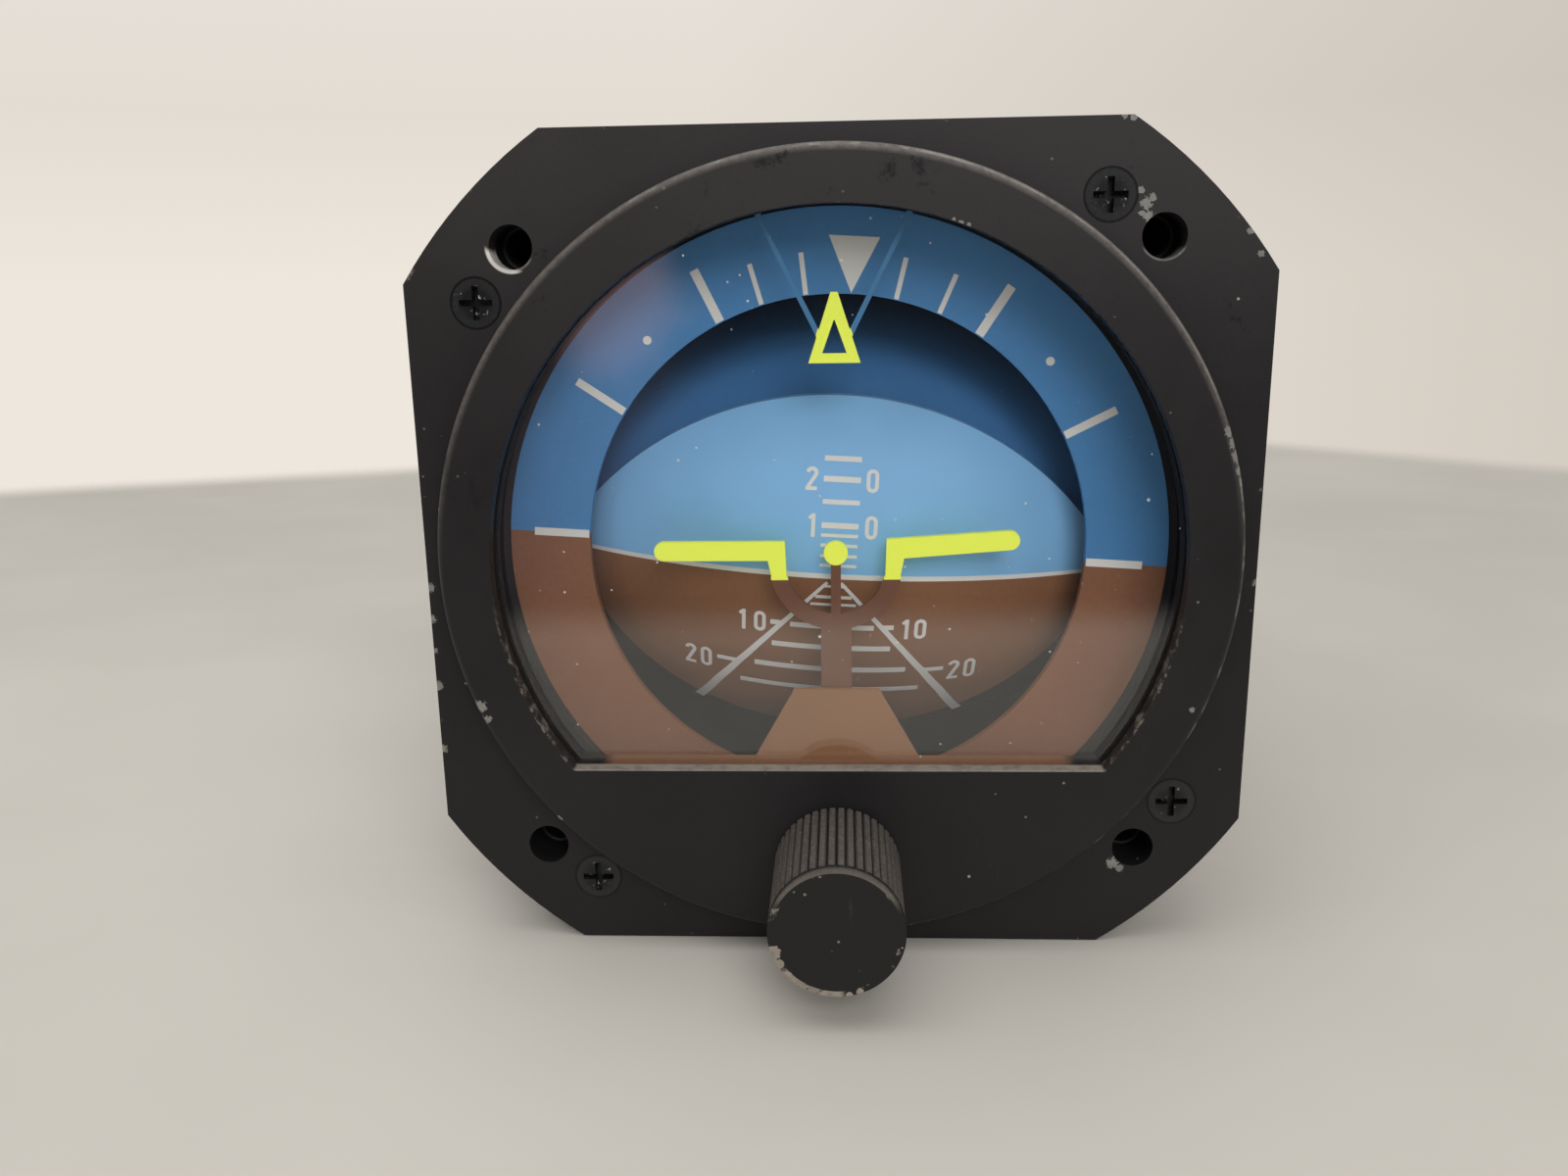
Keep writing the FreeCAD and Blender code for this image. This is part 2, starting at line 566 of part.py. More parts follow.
def make_roll_shaft():
    flange_back = BEAM_BACK + " + shaft_flange"
    shaft = turned("shaft_blank", [
        ("shaft_bore", BEAM_BACK), ("hub_radius", BEAM_BACK), ("hub_radius", flange_back),
        ("shaft_radius", flange_back), ("shaft_radius", "shaft_end"), ("shaft_bore", "shaft_end")])
    groove = turned("clip_groove", [
        ("shaft_radius - 0.4", "bearing_rear + bearing_width"), ("shaft_radius + 1",
         "bearing_rear + bearing_width"), ("shaft_radius + 1", CLIP_BACK),
        ("shaft_radius - 0.4", CLIP_BACK)])
    holes = []
    screws = []
    for i, angle in enumerate((60, 120, 240, 300)):
        x, z = on_circle("hub_radius - 2", angle)
        holes.append(cylinder("shaft_hole%d" % i, "0.9", "shaft_flange + 2",
                              (x, BEAM_BACK + " - 1", z)))
        shank = cylinder("shaft_screw_shank%d" % i, "0.9", "beam_thick + shaft_flange",
                         (x, "frame_end", z))
        head = cylinder("shaft_screw_head%d" % i, "1.6", "1.0", (x, flange_back, z))
        screws.append(fused("shaft_screw%d" % i, shank, head))
    rolled("roll_shaft", cut("shaft_body", shaft, groove, *holes))
    rolled("shaft_screws", group("shaft_screws_all", *screws))
    clip = turned("clip_ring", [
        ("shaft_radius - 0.4", "bearing_rear + bearing_width"),
        ("shaft_radius + 1.1", "bearing_rear + bearing_width"),
        ("shaft_radius + 1.1", CLIP_BACK), ("shaft_radius - 0.4", CLIP_BACK)])
    gap = block("clip_gap", ("2.4", "2", "shaft_radius + 2"),
                ("-1.2", "bearing_rear + bearing_width - 0.5", "0"))
    rolled("shaft_clip", cut("clip_body", clip, gap))


CLIP_BACK = "bearing_rear + bearing_width + 0.8"
RACE_SPLIT = "(shaft_radius + bearing_outer) / 2"


def make_roll_bearings():
    """Two shielded ball bearings: outer rings with shields stay, inner rings turn."""
    outer = []
    inner = []
    for i, front in enumerate(("bearing_front", "bearing_rear")):
        back = front + " + bearing_width"
        outer.append(turned("outer_race%d" % i, [
            ("bearing_outer", front), ("bearing_outer", back),
            (RACE_SPLIT + " - 0.6", back), (RACE_SPLIT + " - 0.6", back + " - 0.3"),
            (RACE_SPLIT + " + 0.9", back + " - 0.3"), (RACE_SPLIT + " + 0.9", front + " + 0.3"),
            (RACE_SPLIT + " - 0.6", front + " + 0.3"), (RACE_SPLIT + " - 0.6", front)]))
        inner.append(turned("inner_race%d" % i, [
            ("shaft_radius", front), (RACE_SPLIT + " - 0.7", front),
            (RACE_SPLIT + " - 0.7", back), ("shaft_radius", back)]))
    node("roll_bearing_outer_rings", group("outer_races", *outer))
    rolled("roll_bearing_inner_rings", group("inner_races", *inner))
    rolled("bearing_spacer", turned("spacer_tube", [
        ("shaft_radius", "bearing_front + bearing_width"),
        ("shaft_radius + 0.9", "bearing_front + bearing_width"),
        ("shaft_radius + 0.9", "bearing_rear"), ("shaft_radius", "bearing_rear")]))


def make_bearing_carrier():
    """A flanged tube through the rear wall; its open rear end carries the air filter."""
    back = "case_end + carrier_plate"
    seat = back + " - washer_thick"
    land = "bearing_outer - 0.9"
    carrier = turned("carrier_blank", [
        ("bearing_outer", "carrier_front"), ("carrier_radius", "carrier_front"),
        ("carrier_radius", "case_end"), ("carrier_flange", "case_end"),
        ("carrier_flange", back), ("washer_radius", back), ("washer_radius", seat),
        ("bearing_outer", seat), ("bearing_outer", "bearing_rear"), (land, "bearing_rear"),
        (land, "bearing_front + bearing_width"),
        ("bearing_outer", "bearing_front + bearing_width")])
    node("inlet_washer", turned("washer_ring", [
        ("shaft_bore", seat), ("washer_radius", seat), ("washer_radius", back),
        ("shaft_bore", back)]))
    node("inlet_filter", cylinder("filter_disc", "filter_radius", "filter_thick",
                                  ("0", back, "0")))
    top = back + " + cap_height"
    cap = turned("cap_blank", [
        ("0", back + " + filter_thick"), ("filter_radius", back + " + filter_thick"),
        ("filter_radius", back), ("carrier_flange", back), ("carrier_flange", CAP_SEAT),
        ("cap_radius", CAP_SEAT), ("cap_radius", top + " - 0.8"), ("cap_radius - 0.8", top),
        ("0", top)])
    vents = [cylinder("cap_vent0", "1.1", "cap_height", ("0", back + " + 1", "0"))]
    for i in range(6):
        x, z = on_circle("filter_radius * 0.6", "%d" % (60 * i))
        vents.append(cylinder("cap_vent%d" % (i + 1), "1.1", "cap_height", (x, back + " + 1", z)))
    holes = []
    screws = []
    for i, angle in enumerate(range(45, 405, 90)):
        x, z = on_circle("(carrier_radius + carrier_flange) / 2", angle)
        holes.append(cylinder("carrier_bore%d" % i, "1.1", "carrier_plate + cap_flange + 2",
                              (x, "case_end - 1", z)))
        shank = cylinder("carrier_screw_shank%d" % i, "1.0",
                         "rear_wall + carrier_plate + cap_flange - 0.5",
                         (x, "case_end - rear_wall + 0.5", z))
        head = cylinder("carrier_screw_head%d" % i, "1.9", "1.5", (x, CAP_SEAT, z))
        slot = block("carrier_screw_slot%d" % i, ("4.4", "1", "0.6"),
                     (x + " - 2.2", CAP_SEAT + " + 0.8", z + " - 0.3"))
        screws.append(cut("carrier_screw%d" % i, fused("carrier_screw_blank%d" % i, shank, head),
                          slot))
    node("bearing_carrier", cut("carrier_body", carrier, *holes))
    node("carrier_screws", group("carrier_screws_all", *screws))
    node("filter_cap", cut("cap_body", cap, *(vents + holes)))


CAP_SEAT = "case_end + carrier_plate + cap_flange"


# ---------------------------------------------------------------- display and dome
ARM_OUT = "rail_inner - arm_gap"
ARM_IN = "rail_inner - arm_gap - arm_thick"
SHELL_EDGE = "display_depth - display_curve + sqrt(display_curve^2 - (rail_inner - arm_gap)^2)"


def make_pitch_display():
    shell = barrel("display_barrel", "display_depth", "display_curve", ARM_OUT, "display_thick", "display_sweep")
    upper = cylinder("lens_top", "top_arc", "80", ("0", "-60", "display_top - top_arc"))
    lower = cylinder("lens_bottom", "bottom_arc", "80", ("0", "-60", "bottom_arc - display_bottom"))
    lens = common("lens", upper, lower)
    bands = [block("band%d" % i, ("%s - 26" % ARM_OUT, "60", "2 * arm_half"),
                   (low, "-60", "-arm_half"))
             for i, low in enumerate(("26", "-(%s)" % ARM_OUT))]
    face = common("display_face", shell, fused("display_outline", lens, *bands))
    pieces = [face]
    for i, low in enumerate((ARM_IN, "-(%s)" % ARM_OUT)):
        pieces.append(block("display_arm%d" % i, ("arm_thick", "%s - 0.3" % SHELL_EDGE,
                                                  "2 * arm_half"),
                            (low, "0.3 - (%s)" % SHELL_EDGE, "-arm_half")))
        pieces.append(cylinder("display_hub%d" % i, "arm_half + 0.8", "arm_thick",
                               (low, "0", "0"), "X"))
        pieces.append(block("display_tail%d" % i, ("arm_thick", "tail_length - 0.6", "3.4"), (low, "0", "-1.7")))
    for i, low in enumerate((ARM_OUT, "0.3 - rail_inner")):
        pieces.append(cylinder("display_boss%d" % i, "pivot_radius + 1.1", "arm_gap - 0.3",
                               (low, "0", "0"), "X"))
    holes = [cylinder("display_bore", "pivot_radius + running_gap", "2 * rail_inner",
                      ("-rail_inner", "0", "0"), "X")]
    left = "-(%s)" % ARM_OUT
    pieces.append(block("display_crank", ("arm_thick", "2 * link_half", "crank"),
                        (left, "-link_half", "0")))
    pieces.append(cylinder("display_crank_end", "link_half", "arm_thick", (left, "0", "crank"), "X"))
    pieces.append(cylinder("display_crank_pin", "link_pin", "link_gap + link_thick + 0.2",
                           (left, "0", "crank"), "-X"))
    pitched("pitch_display", cut("display_body", fused("display_blank", *pieces), *holes),
            "display_axis")
    weights = [cylinder("display_weight%d" % i, "3.1", "arm_thick", (low, "tail_length - 3.1", "0"),
                         "X")
               for i, low in enumerate((ARM_IN, "-(%s)" % ARM_OUT))]
    necks = [block("weight_slot%d" % i, ("arm_thick", "tail_length - 0.6", "3.4"), (low, "0", "-1.7"))
             for i, low in enumerate((ARM_IN, "-(%s)" % ARM_OUT))]
    bores = [cylinder("weight_bore%d" % i, "arm_half + 0.8", "arm_thick", (low, "0", "0"), "X")
             for i, low in enumerate((ARM_IN, "-(%s)" % ARM_OUT))]
    pitched("display_weights", cut("display_weight_pair", group("display_weight_blanks", *weights),
                                   *(necks + bores)), "display_axis")


def make_display_pivots():
    pins = []
    for i, (along, sign) in enumerate((("X", ""), ("-X", "-"))):
        pin = cylinder("display_pin%d" % i, "pivot_radius", "rail_thick + arm_gap + arm_thick + 0.4",
                       ("%s(%s - 0.4)" % (sign, ARM_IN), "display_axis", "0"), along)
        head = cylinder("display_pin_head%d" % i, "2.4", "0.4",
                        ("%s(%s)" % (sign, RAIL_OUT), "display_axis", "0"), along)
        pins.append(fused("display_pivot%d" % i, pin, head))
    rolled("display_pivots", group("display_pivot_pair", *pins))


DOME_DEPTH = "display_depth - display_thick - dome_gap"
DOME_CURVE = "display_curve - display_thick - dome_gap"
CHEEK = "%s - (%s) + sqrt((%s)^2 - dome_half^2)" % (DOME_DEPTH, DOME_CURVE, DOME_CURVE)


def make_dome():
    shell = barrel("dome_barrel", DOME_DEPTH, DOME_CURVE, "dome_half", "dome_thick", "dome_sweep")
    pieces = [shell]
    for i, (low, ear) in enumerate((("dome_half - dome_thick", "dome_half"),
                                    ("-dome_half", "-rail_inner"))):
        disc = cylinder("cheek_disc%d" % i, CHEEK, "dome_thick", (low, "0", "0"), "X")
        front = block("cheek_half%d" % i, ("dome_thick", CHEEK, "2 * (%s)" % CHEEK),
                      (low, "-(%s)" % CHEEK, "-(%s)" % CHEEK))
        pieces.append(common("cheek%d" % i, disc, front))
        pieces.append(block("cheek_tail%d" % i, ("dome_thick", "ear_front + ear_depth", "10"),
                            (low, "0", "-5")))
        pieces.append(block("ear%d" % i, ("rail_inner - dome_half", "ear_depth", "5.4"),
                            (ear, "ear_front", "-4.7")))
    dome = fused("dome_blank", *pieces)
    holes = [cylinder("ear_hole%d" % k, "stay_screw", "2 * rail_inner + 2",
                      ("-rail_inner - 1", "ear_front + ear_depth / 2", z), "X")
             for k, z in enumerate(("-3.2", "-0.8"))]
    clear = cylinder("cheek_clear", "pivot_radius + 1", "2 * rail_inner", ("-rail_inner", "0", "0"),
                     "X")
    dome_cut = cut("dome_body", dome, clear, *holes)
    bind(dome_cut, "Placement.Base.y", "display_axis")
    rolled("horizon_dome", group("dome_placed", dome_cut))
    screws = []
    for i, (along, sign) in enumerate((("X", ""), ("-X", "-"))):
        for k, z in enumerate(("-3.2", "-0.8")):
            shank = cylinder("stay_shank%d%d" % (i, k), "stay_screw",
                             "rail_inner + rail_thick - dome_half",
                             ("%sdome_half" % sign, STAY_Y, z), along)
            screws.append(shank)
    rolled("dome_screws", group("dome_screws_all", *screws))


# ---------------------------------------------------------------- rotor housing
HOUSING_BORE = "housing_radius - housing_wall"
JET_X = "rotor_radius - 1.2"
JET_IN = "sqrt(rotor_radius^2 - (rotor_radius - 1.2 - air_hole)^2) + 0.3"
JET_OUT = "sqrt(housing_radius^2 - (rotor_radius - 1.2 - air_hole)^2) + 1.5"
COVER_TOP = "housing_half + cover_thick"


def make_rotor_housing():
    shell = cylinder("housing_shell", "housing_radius", "2 * housing_half + cover_thick",
                     ("0", "0", "-housing_half - cover_thick"), "Z")
    pads = cylinder("housing_pads", "trunnion_flange + 1", "2 * pad_reach", ("-pad_reach", "0", "0"),
                    "X")
    inside = cylinder("housing_bore", HOUSING_BORE, "2 * housing_half + 1",
                      ("0", "0", "-housing_half"), "Z")
    race = cylinder("housing_race", "spin_race", "spin_width + 2",
                    ("0", "0", "-housing_half - cover_thick - 1"), "Z")
    neck = cylinder("housing_neck", "spin_race + 1.4", "spin_width - cover_thick + 0.1",
                    ("0", "0", "-housing_half - 0.1"), "Z")
    shaft_holes = cylinder("trunnion_hole", "trunnion_radius", "2 * pad_reach + 2",
                           ("-pad_reach - 1", "0", "0"), "X")
    vents = []
    for i, angle in enumerate((35, 145, 215, 325)):
        vents.append(cylinder("housing_vent%d" % i, "air_hole", "6",
                              on_circle("block_half * 0.75", angle)
                              + ("-housing_half - cover_thick - 1",), "Z"))
    jets = [cylinder("jet_hole%d" % i, "air_hole", "(%s) - (%s) + 4" % (JET_OUT, JET_IN),
                     ("%d * (%s)" % (side, JET_X), at, "0"))
            for i, (side, at) in enumerate(((1, "-(%s) - 1" % JET_OUT), (-1, "%s - 3" % JET_IN)))]
    blank = fused("housing_blank", shell, pads)
    hollow = cut("housing_hollow", blank, inside, shaft_holes, *jets)
    base = fused("housing_based", hollow, neck)
    pitched("rotor_housing", cut("housing_body", base, race, *vents), "gyro_axis")
    nozzles = []
    for i, (side, at) in enumerate(((1, "-(%s)" % JET_OUT), (-1, JET_IN))):
        x = "%d * (%s)" % (side, JET_X)
        long = "(%s) - (%s)" % (JET_OUT, JET_IN)
        tube = cylinder("nozzle_tube%d" % i, "air_hole", long, (x, at, "0"))
        bore = cylinder("nozzle_bore%d" % i, "air_hole / 2", long + " + 1", (x, at + " - 0.5", "0"))
        nozzles.append(cut("nozzle%d" % i, tube, bore))
    return nozzles


def make_housing_cap():
    disc = cylinder("cap_disc", "housing_radius", "cover_thick", ("0", "0", "housing_half"), "Z")
    hub = cylinder("cap_hub", "spin_race + 1.6", "spin_width + 0.8",
                   ("0", "0", COVER_TOP + " - spin_width"), "Z")
    ribs = [block("cap_rib%d" % i, size, corner) for i, (size, corner) in enumerate((
        (("2 * housing_radius - 6", "1.4", "1.2"), ("3 - housing_radius", "-0.7", COVER_TOP)),
        (("1.4", "2 * housing_radius - 6", "1.2"), ("-0.7", "3 - housing_radius", COVER_TOP))))]
    race = cylinder("cap_race", "spin_race", "spin_width + 1",
                    ("0", "0", COVER_TOP + " - spin_width - 1"), "Z")
    holes = []
    screws = []
    for i, angle in enumerate((45, 135, 225, 315)):
        x, y = on_circle("housing_radius - housing_wall / 2 - 0.2", angle)
        holes.append(cylinder("cap_hole%d" % i, "0.5", "cover_thick + 2",
                              (x, y, "housing_half - 1"), "Z"))
        shank = cylinder("cap_screw_shank%d" % i, "0.5", "cover_thick",
                         (x, y, "housing_half"), "Z")
        head = cylinder("cap_screw_head%d" % i, "1.1", "0.8", (x, y, COVER_TOP), "Z")
        screws.append(fused("cap_screw%d" % i, shank, head))
    blank = fused("housing_cap_blank", disc, hub, *ribs)
    pitched("housing_cap", cut("housing_cap_body", blank, race, *holes), "gyro_axis")
    pitched("housing_cap_screws", group("housing_cap_screws_all", *screws), "gyro_axis")


def make_rotor():
    web = "rotor_web"
    rim_inner = "rotor_radius - 7"
    body = doc.addObject("PartDesign::Body", "rotor_wheel")
    sketch = new_sketch(body, "XZ_Plane")
    draw_loop(sketch, [
        ("axle_radius", "-rotor_half + 2"), ("axle_radius + 3.5", "-rotor_half + 2"),
        ("axle_radius + 3.5", "-%s" % web), (rim_inner, "-%s" % web),
        (rim_inner, "-rotor_half"), ("rotor_radius", "-rotor_half"),
        ("rotor_radius", "rotor_half"), (rim_inner, "rotor_half"), (rim_inner, web),
        ("axle_radius + 3.5", web), ("axle_radius + 3.5", "rotor_half - 2"),
        ("axle_radius", "rotor_half - 2")], "p")
    turn = body.newObject("PartDesign::Revolution", "rotor_turn")
    turn.Profile = sketch
    turn.ReferenceAxis = (sketch, ["V_Axis"])
    turn.Angle = 360
    buckets = []
    for i in range(SIZES["bucket_count"]):
        x, y = on_circle("rotor_radius + 0.3", "%d * 360 / bucket_count" % i)
        buckets.append(cylinder("bucket%d" % i, "bucket_radius", "2 * bucket_radius * 1.6",
                                (x, y, "-bucket_radius * 1.6"), "Z"))
    pitched("gyro_rotor", cut("rotor_body", body, *buckets), "gyro_axis")
    top = COVER_TOP
    axle = doc.addObject("PartDesign::Body", "axle_bar")
    profile = new_sketch(axle, "XZ_Plane")
    draw_loop(profile, [
        ("0", "-(%s)" % top), ("axle_radius - 0.5", "-(%s)" % top),
        ("axle_radius - 0.5", "-(%s) + spin_width" % top),
        ("axle_radius", "-(%s) + spin_width" % top), ("axle_radius", top + " - spin_width"),
        ("axle_radius - 0.5", top + " - spin_width"), ("axle_radius - 0.5", top), ("0", top)], "p")
    spin = axle.newObject("PartDesign::Revolution", "axle_turn")
    spin.Profile = profile
    spin.ReferenceAxis = (profile, ["V_Axis"])
    spin.Angle = 360
    pitched("rotor_shaft", axle, "gyro_axis")
    rings = {"outer": [], "inner": []}
    for i, low in enumerate(("-(%s)" % top, top + " - spin_width")):
        for kind, large, small in (("outer", "spin_race", "spin_race - 1.2"),
                                   ("inner", "spin_race - 1.2 - race_gap", "axle_radius - 0.5")):
            name = "spin_%s%d" % (kind, i)
            ring = cylinder(name + "_od", large, "spin_width", ("0", "0", low), "Z")
            bore = cylinder(name + "_id", small, "spin_width", ("0", "0", low), "Z")
            rings[kind].append(cut(name, ring, bore))
    pitched("spin_bearing_outer_rings", group("spin_outers", *rings["outer"]), "gyro_axis")
    pitched("spin_bearing_inner_rings", group("spin_inners", *rings["inner"]), "gyro_axis")


BLOCK_TOP = "-(%s)" % COVER_TOP
PIN_A = BLOCK_TOP + " - 0.26 * block_height"
PIN_B = BLOCK_TOP + " - 0.54 * block_height"


def make_exhaust_block():
    """The block under the housing: four side ports, each half covered by a hanging vane."""
    box = block("exhaust_box", ("2 * block_half", "2 * block_half", "block_height"),
                ("-block_half", "-block_half", BLOCK_TOP + " - block_height"))
    neck = cylinder("exhaust_well", "spin_race + 0.2", "3", ("0", "0", BLOCK_TOP + " - 1.5"), "Z")
    tools = [neck]
    for i, (along, at) in enumerate((("X", ("-block_half - 1", "0", PIN_A)),
                                     ("Y", ("0", "-block_half - 1", PIN_B)))):
        tools.append(cylinder("vane_bore%d" % i, "vane_pin + running_gap", "2 * block_half + 2",
                              at, along))
    for i, (side, offset) in enumerate(((1, "1.8"), (-1, "-1.8"))):
        tools.append(cylinder("port_x%d" % i, "air_hole", "4",
                              ("%d * (block_half - 1) - 2" % side, offset, PORT_Z), "X"))
        tools.append(cylinder("port_y%d" % i, "air_hole", "4",
                              (offset, "%d * (block_half - 1) - 2" % side, PORT_Z), "Y"))
    pitched("exhaust_block", cut("exhaust_body", box, *tools), "gyro_axis")


PORT_Z = BLOCK_TOP + " - block_height + 2.2"


def make_vanes():
    """Two cross shafts, each with a vane hanging at both ends over the ports."""
    reach = "block_half + 0.3"
    for name, along, pin_z in (("vane_pair_x", "X", PIN_A), ("vane_pair_y", "Y", PIN_B)):
        pieces = []
        if along == "X":
            pieces.append(cylinder(name + "_pin", "vane_pin", "2 * (%s + vane_thick)" % reach,
                                   ("-(%s + vane_thick)" % reach, "0", pin_z), "X"))
        else:
            pieces.append(cylinder(name + "_pin", "vane_pin", "2 * (%s + vane_thick)" % reach,
                                   ("0", "-(%s + vane_thick)" % reach, pin_z), "Y"))
        for i, low in enumerate((reach, "-(%s + vane_thick)" % reach)):
            shift = "0" if i == 0 else "-vane_half"
            tall = "(%s) - (%s) + block_height - 0.6" % (pin_z, BLOCK_TOP)
            floor = "(%s) - (%s)" % (pin_z, tall)
            if along == "X":
                pieces.append(block("%s_flap%d" % (name, i), ("vane_thick", "vane_half", tall),
                                    (low, shift, floor)))
                pieces.append(cylinder("%s_eye%d" % (name, i), "1.5", "vane_thick",
                                       (low, "0", pin_z), "X"))
            else:
                pieces.append(block("%s_flap%d" % (name, i), ("vane_half", "vane_thick", tall),
                                    (shift, low, floor)))
                pieces.append(cylinder("%s_eye%d" % (name, i), "1.5", "vane_thick",
                                       ("0", low, pin_z), "Y"))
        pitched(name, fused(name + "_body", *pieces), "gyro_axis")


def make_trunnions(nozzles):
    pitched("air_nozzles", group("air_nozzles_all", *nozzles), "gyro_axis")
    pins = []
    for i, (along, sign) in enumerate((("X", ""), ("-X", "-"))):
        flange = cylinder("trunnion_flange%d" % i, "trunnion_flange", FLANGE_THICK,
                          ("%spad_reach" % sign, "0", "0"), along)
        spigot = cylinder("trunnion_spigot%d" % i, "trunnion_radius", "2.0 + %s" % FLANGE_THICK,
                          ("%s(pad_reach - 2)" % sign, "0", "0"), along)
        pin = cylinder("trunnion_pin%d" % i, "trunnion_radius", "%s - pad_reach" % RAIL_OUT,
                       ("%spad_reach" % sign, "0", "0"), along)
        collar = cylinder("trunnion_collar%d" % i, "race_bore - 0.3", "race_collar",
                          ("%s(rail_inner - race_collar)" % sign, "0", "0"), along)
        pins.append(fused("trunnion%d" % i, flange, spigot, pin, collar))
    pitched("pitch_trunnions", group("trunnion_pair", *pins), "gyro_axis")
    outer = []
    inner = []
    for i, (along, sign) in enumerate((("X", ""), ("-X", "-"))):
        at = ("%srail_inner" % sign, "gyro_axis", "0")
        local = ("%srail_inner" % sign, "0", "0")
        large = cylinder("pitch_race_od%d" % i, "race_radius", "rail_thick", at, along)
        hole = cylinder("pitch_race_id%d" % i, "race_bore + race_gap", "rail_thick", at, along)
        outer.append(cut("pitch_race%d" % i, large, hole))
        ring = cylinder("pitch_ring_od%d" % i, "race_bore", "rail_thick", local, along)
        bore = cylinder("pitch_ring_id%d" % i, "trunnion_radius", "rail_thick", local, along)
        inner.append(cut("pitch_ring%d" % i, ring, bore))
    rolled("pitch_bearing_outer_rings", group("pitch_outers", *outer))
    pitched("pitch_bearing_inner_rings", group("pitch_inners", *inner), "gyro_axis")


FLANGE_THICK = "1.2"
LINK_IN = ARM_OUT + " + link_gap"
LINK_OUT = ARM_OUT + " + link_gap + link_thick"
CRANK_IN = ARM_OUT + " + 2 * link_gap + link_thick"


def make_pitch_link():
    """The straight link between the two equal cranks, and the crank on the rotor housing."""
    low = "-(%s)" % LINK_OUT
    bar = block("link_bar", ("link_thick", "link_length", "2.0"),
                (low, "-link_length", "-1.0"))
    eyes = [cylinder("link_eye%d" % i, "link_half", "link_thick", (low, y, "0"), "X")
            for i, y in enumerate(("0", "-link_length"))]
    bores = [cylinder("link_bore%d" % i, "link_pin + running_gap", "link_thick + 2",
                      (low + " - 1", y, "0"), "X")
             for i, y in enumerate(("0", "-link_length"))]
    link = cut("link_body", fused("link_blank", bar, *eyes), *bores)
    bind(link, "Placement.Base.y", "gyro_axis - crank * sin(pitch_rest)")
    bind(link, "Placement.Base.z", "crank * cos(pitch_rest)")
    rolled("pitch_link", group("link_placed", link))
    inner = "(%s)" % CRANK_IN
    hub_base = "(pad_reach + %s)" % FLANGE_THICK
    outer = "-(%s + crank_thick)" % inner
    arm = block("crank_arm", ("crank_thick", "2 * link_half", "crank"),
                (outer, "-link_half", "0"))
    hub = cylinder("crank_hub", "trunnion_radius + 1.1", "%s + crank_thick - %s" % (inner, hub_base),
                   ("-" + hub_base, "0", "0"), "-X")
    end = cylinder("crank_end", "link_half", "crank_thick", (outer, "0", "crank"), "X")
    pin = cylinder("crank_pin", "link_pin", "link_gap + link_thick + 0.2",
                   ("-" + inner, "0", "crank"), "X")
    bore = cylinder("crank_bore", "trunnion_radius", "10", ("-rail_inner", "0", "0"), "X")
    pitched("pitch_crank", cut("crank_body", fused("crank_blank", arm, hub, end, pin), bore),
            "gyro_axis")


# ---------------------------------------------------------------- knob, symbol and pointer
KNOB_BACK = "-boss_height - knob_gap"
SPINDLE_END = "arm_plane + arm_plate"


def make_knob():
    body = doc.addObject("PartDesign::Body", "knob_body")
    sketch = new_sketch(body, "XZ_Plane")
    sketch.addGeometry(Part.Circle(V(), V(0, 0, 1), SIZES["knob_radius"]), False)
    sketch.addConstraint(Sketcher.Constraint("Coincident", 0, 3, -1, 1))
    sketch.addConstraint(Sketcher.Constraint("Radius", 0, SIZES["knob_radius"]))
    bind(sketch, "Constraints[1]", "knob_radius")
    pad = body.newObject("PartDesign::Pad", "knob_pad")
    pad.Profile = sketch
    bind(pad, "Length", "knob_reach + (%s)" % KNOB_BACK)
    notch = new_sketch(body, "XZ_Plane")
    bind(notch, "AttachmentOffset.Base.z", "-1")
    draw_loop(notch, [("knob_radius - knurl_depth", "0"), ("knob_radius + 0.1", "0.29"),
                      ("knob_radius + 0.1", "-0.29")], "n")
    pocket = body.newObject("PartDesign::Pocket", "knurl_notch")
    pocket.Profile = notch
    pocket.Reversed = True
    bind(pocket, "Length", "knob_reach - boss_height - knob_gap - 1 + 1")
    doc.recompute()
    pattern = body.newObject("PartDesign::PolarPattern", "knurl")
    pattern.Originals = [pocket]
    pattern.Axis = (sketch, ["N_Axis"])
    pattern.Angle = 360
    bind(pattern, "Occurrences", "knurl_count")
    body.Tip = pattern
    bind(body, "Placement.Base.y", KNOB_BACK)
    bind(body, "Placement.Base.z", "knob_height")
    bore = cylinder("knob_bore", "spindle_radius", "knob_reach * 0.7",
                    ("0", "-knob_reach * 0.85", "knob_height"))
    tap = cylinder("knob_tap", "1.0", "knob_radius", ("0", GRUB_Y, "knob_height"), "-Z")
    node("knob", cut("knob_cut", body, bore, tap))
    node("knob_set_screw", cylinder("grub", "1.0", "knob_radius - spindle_radius - 0.9",
                                    ("0", GRUB_Y, "knob_height - spindle_radius"), "-Z"))


GRUB_Y = "%s - 3.4" % KNOB_BACK


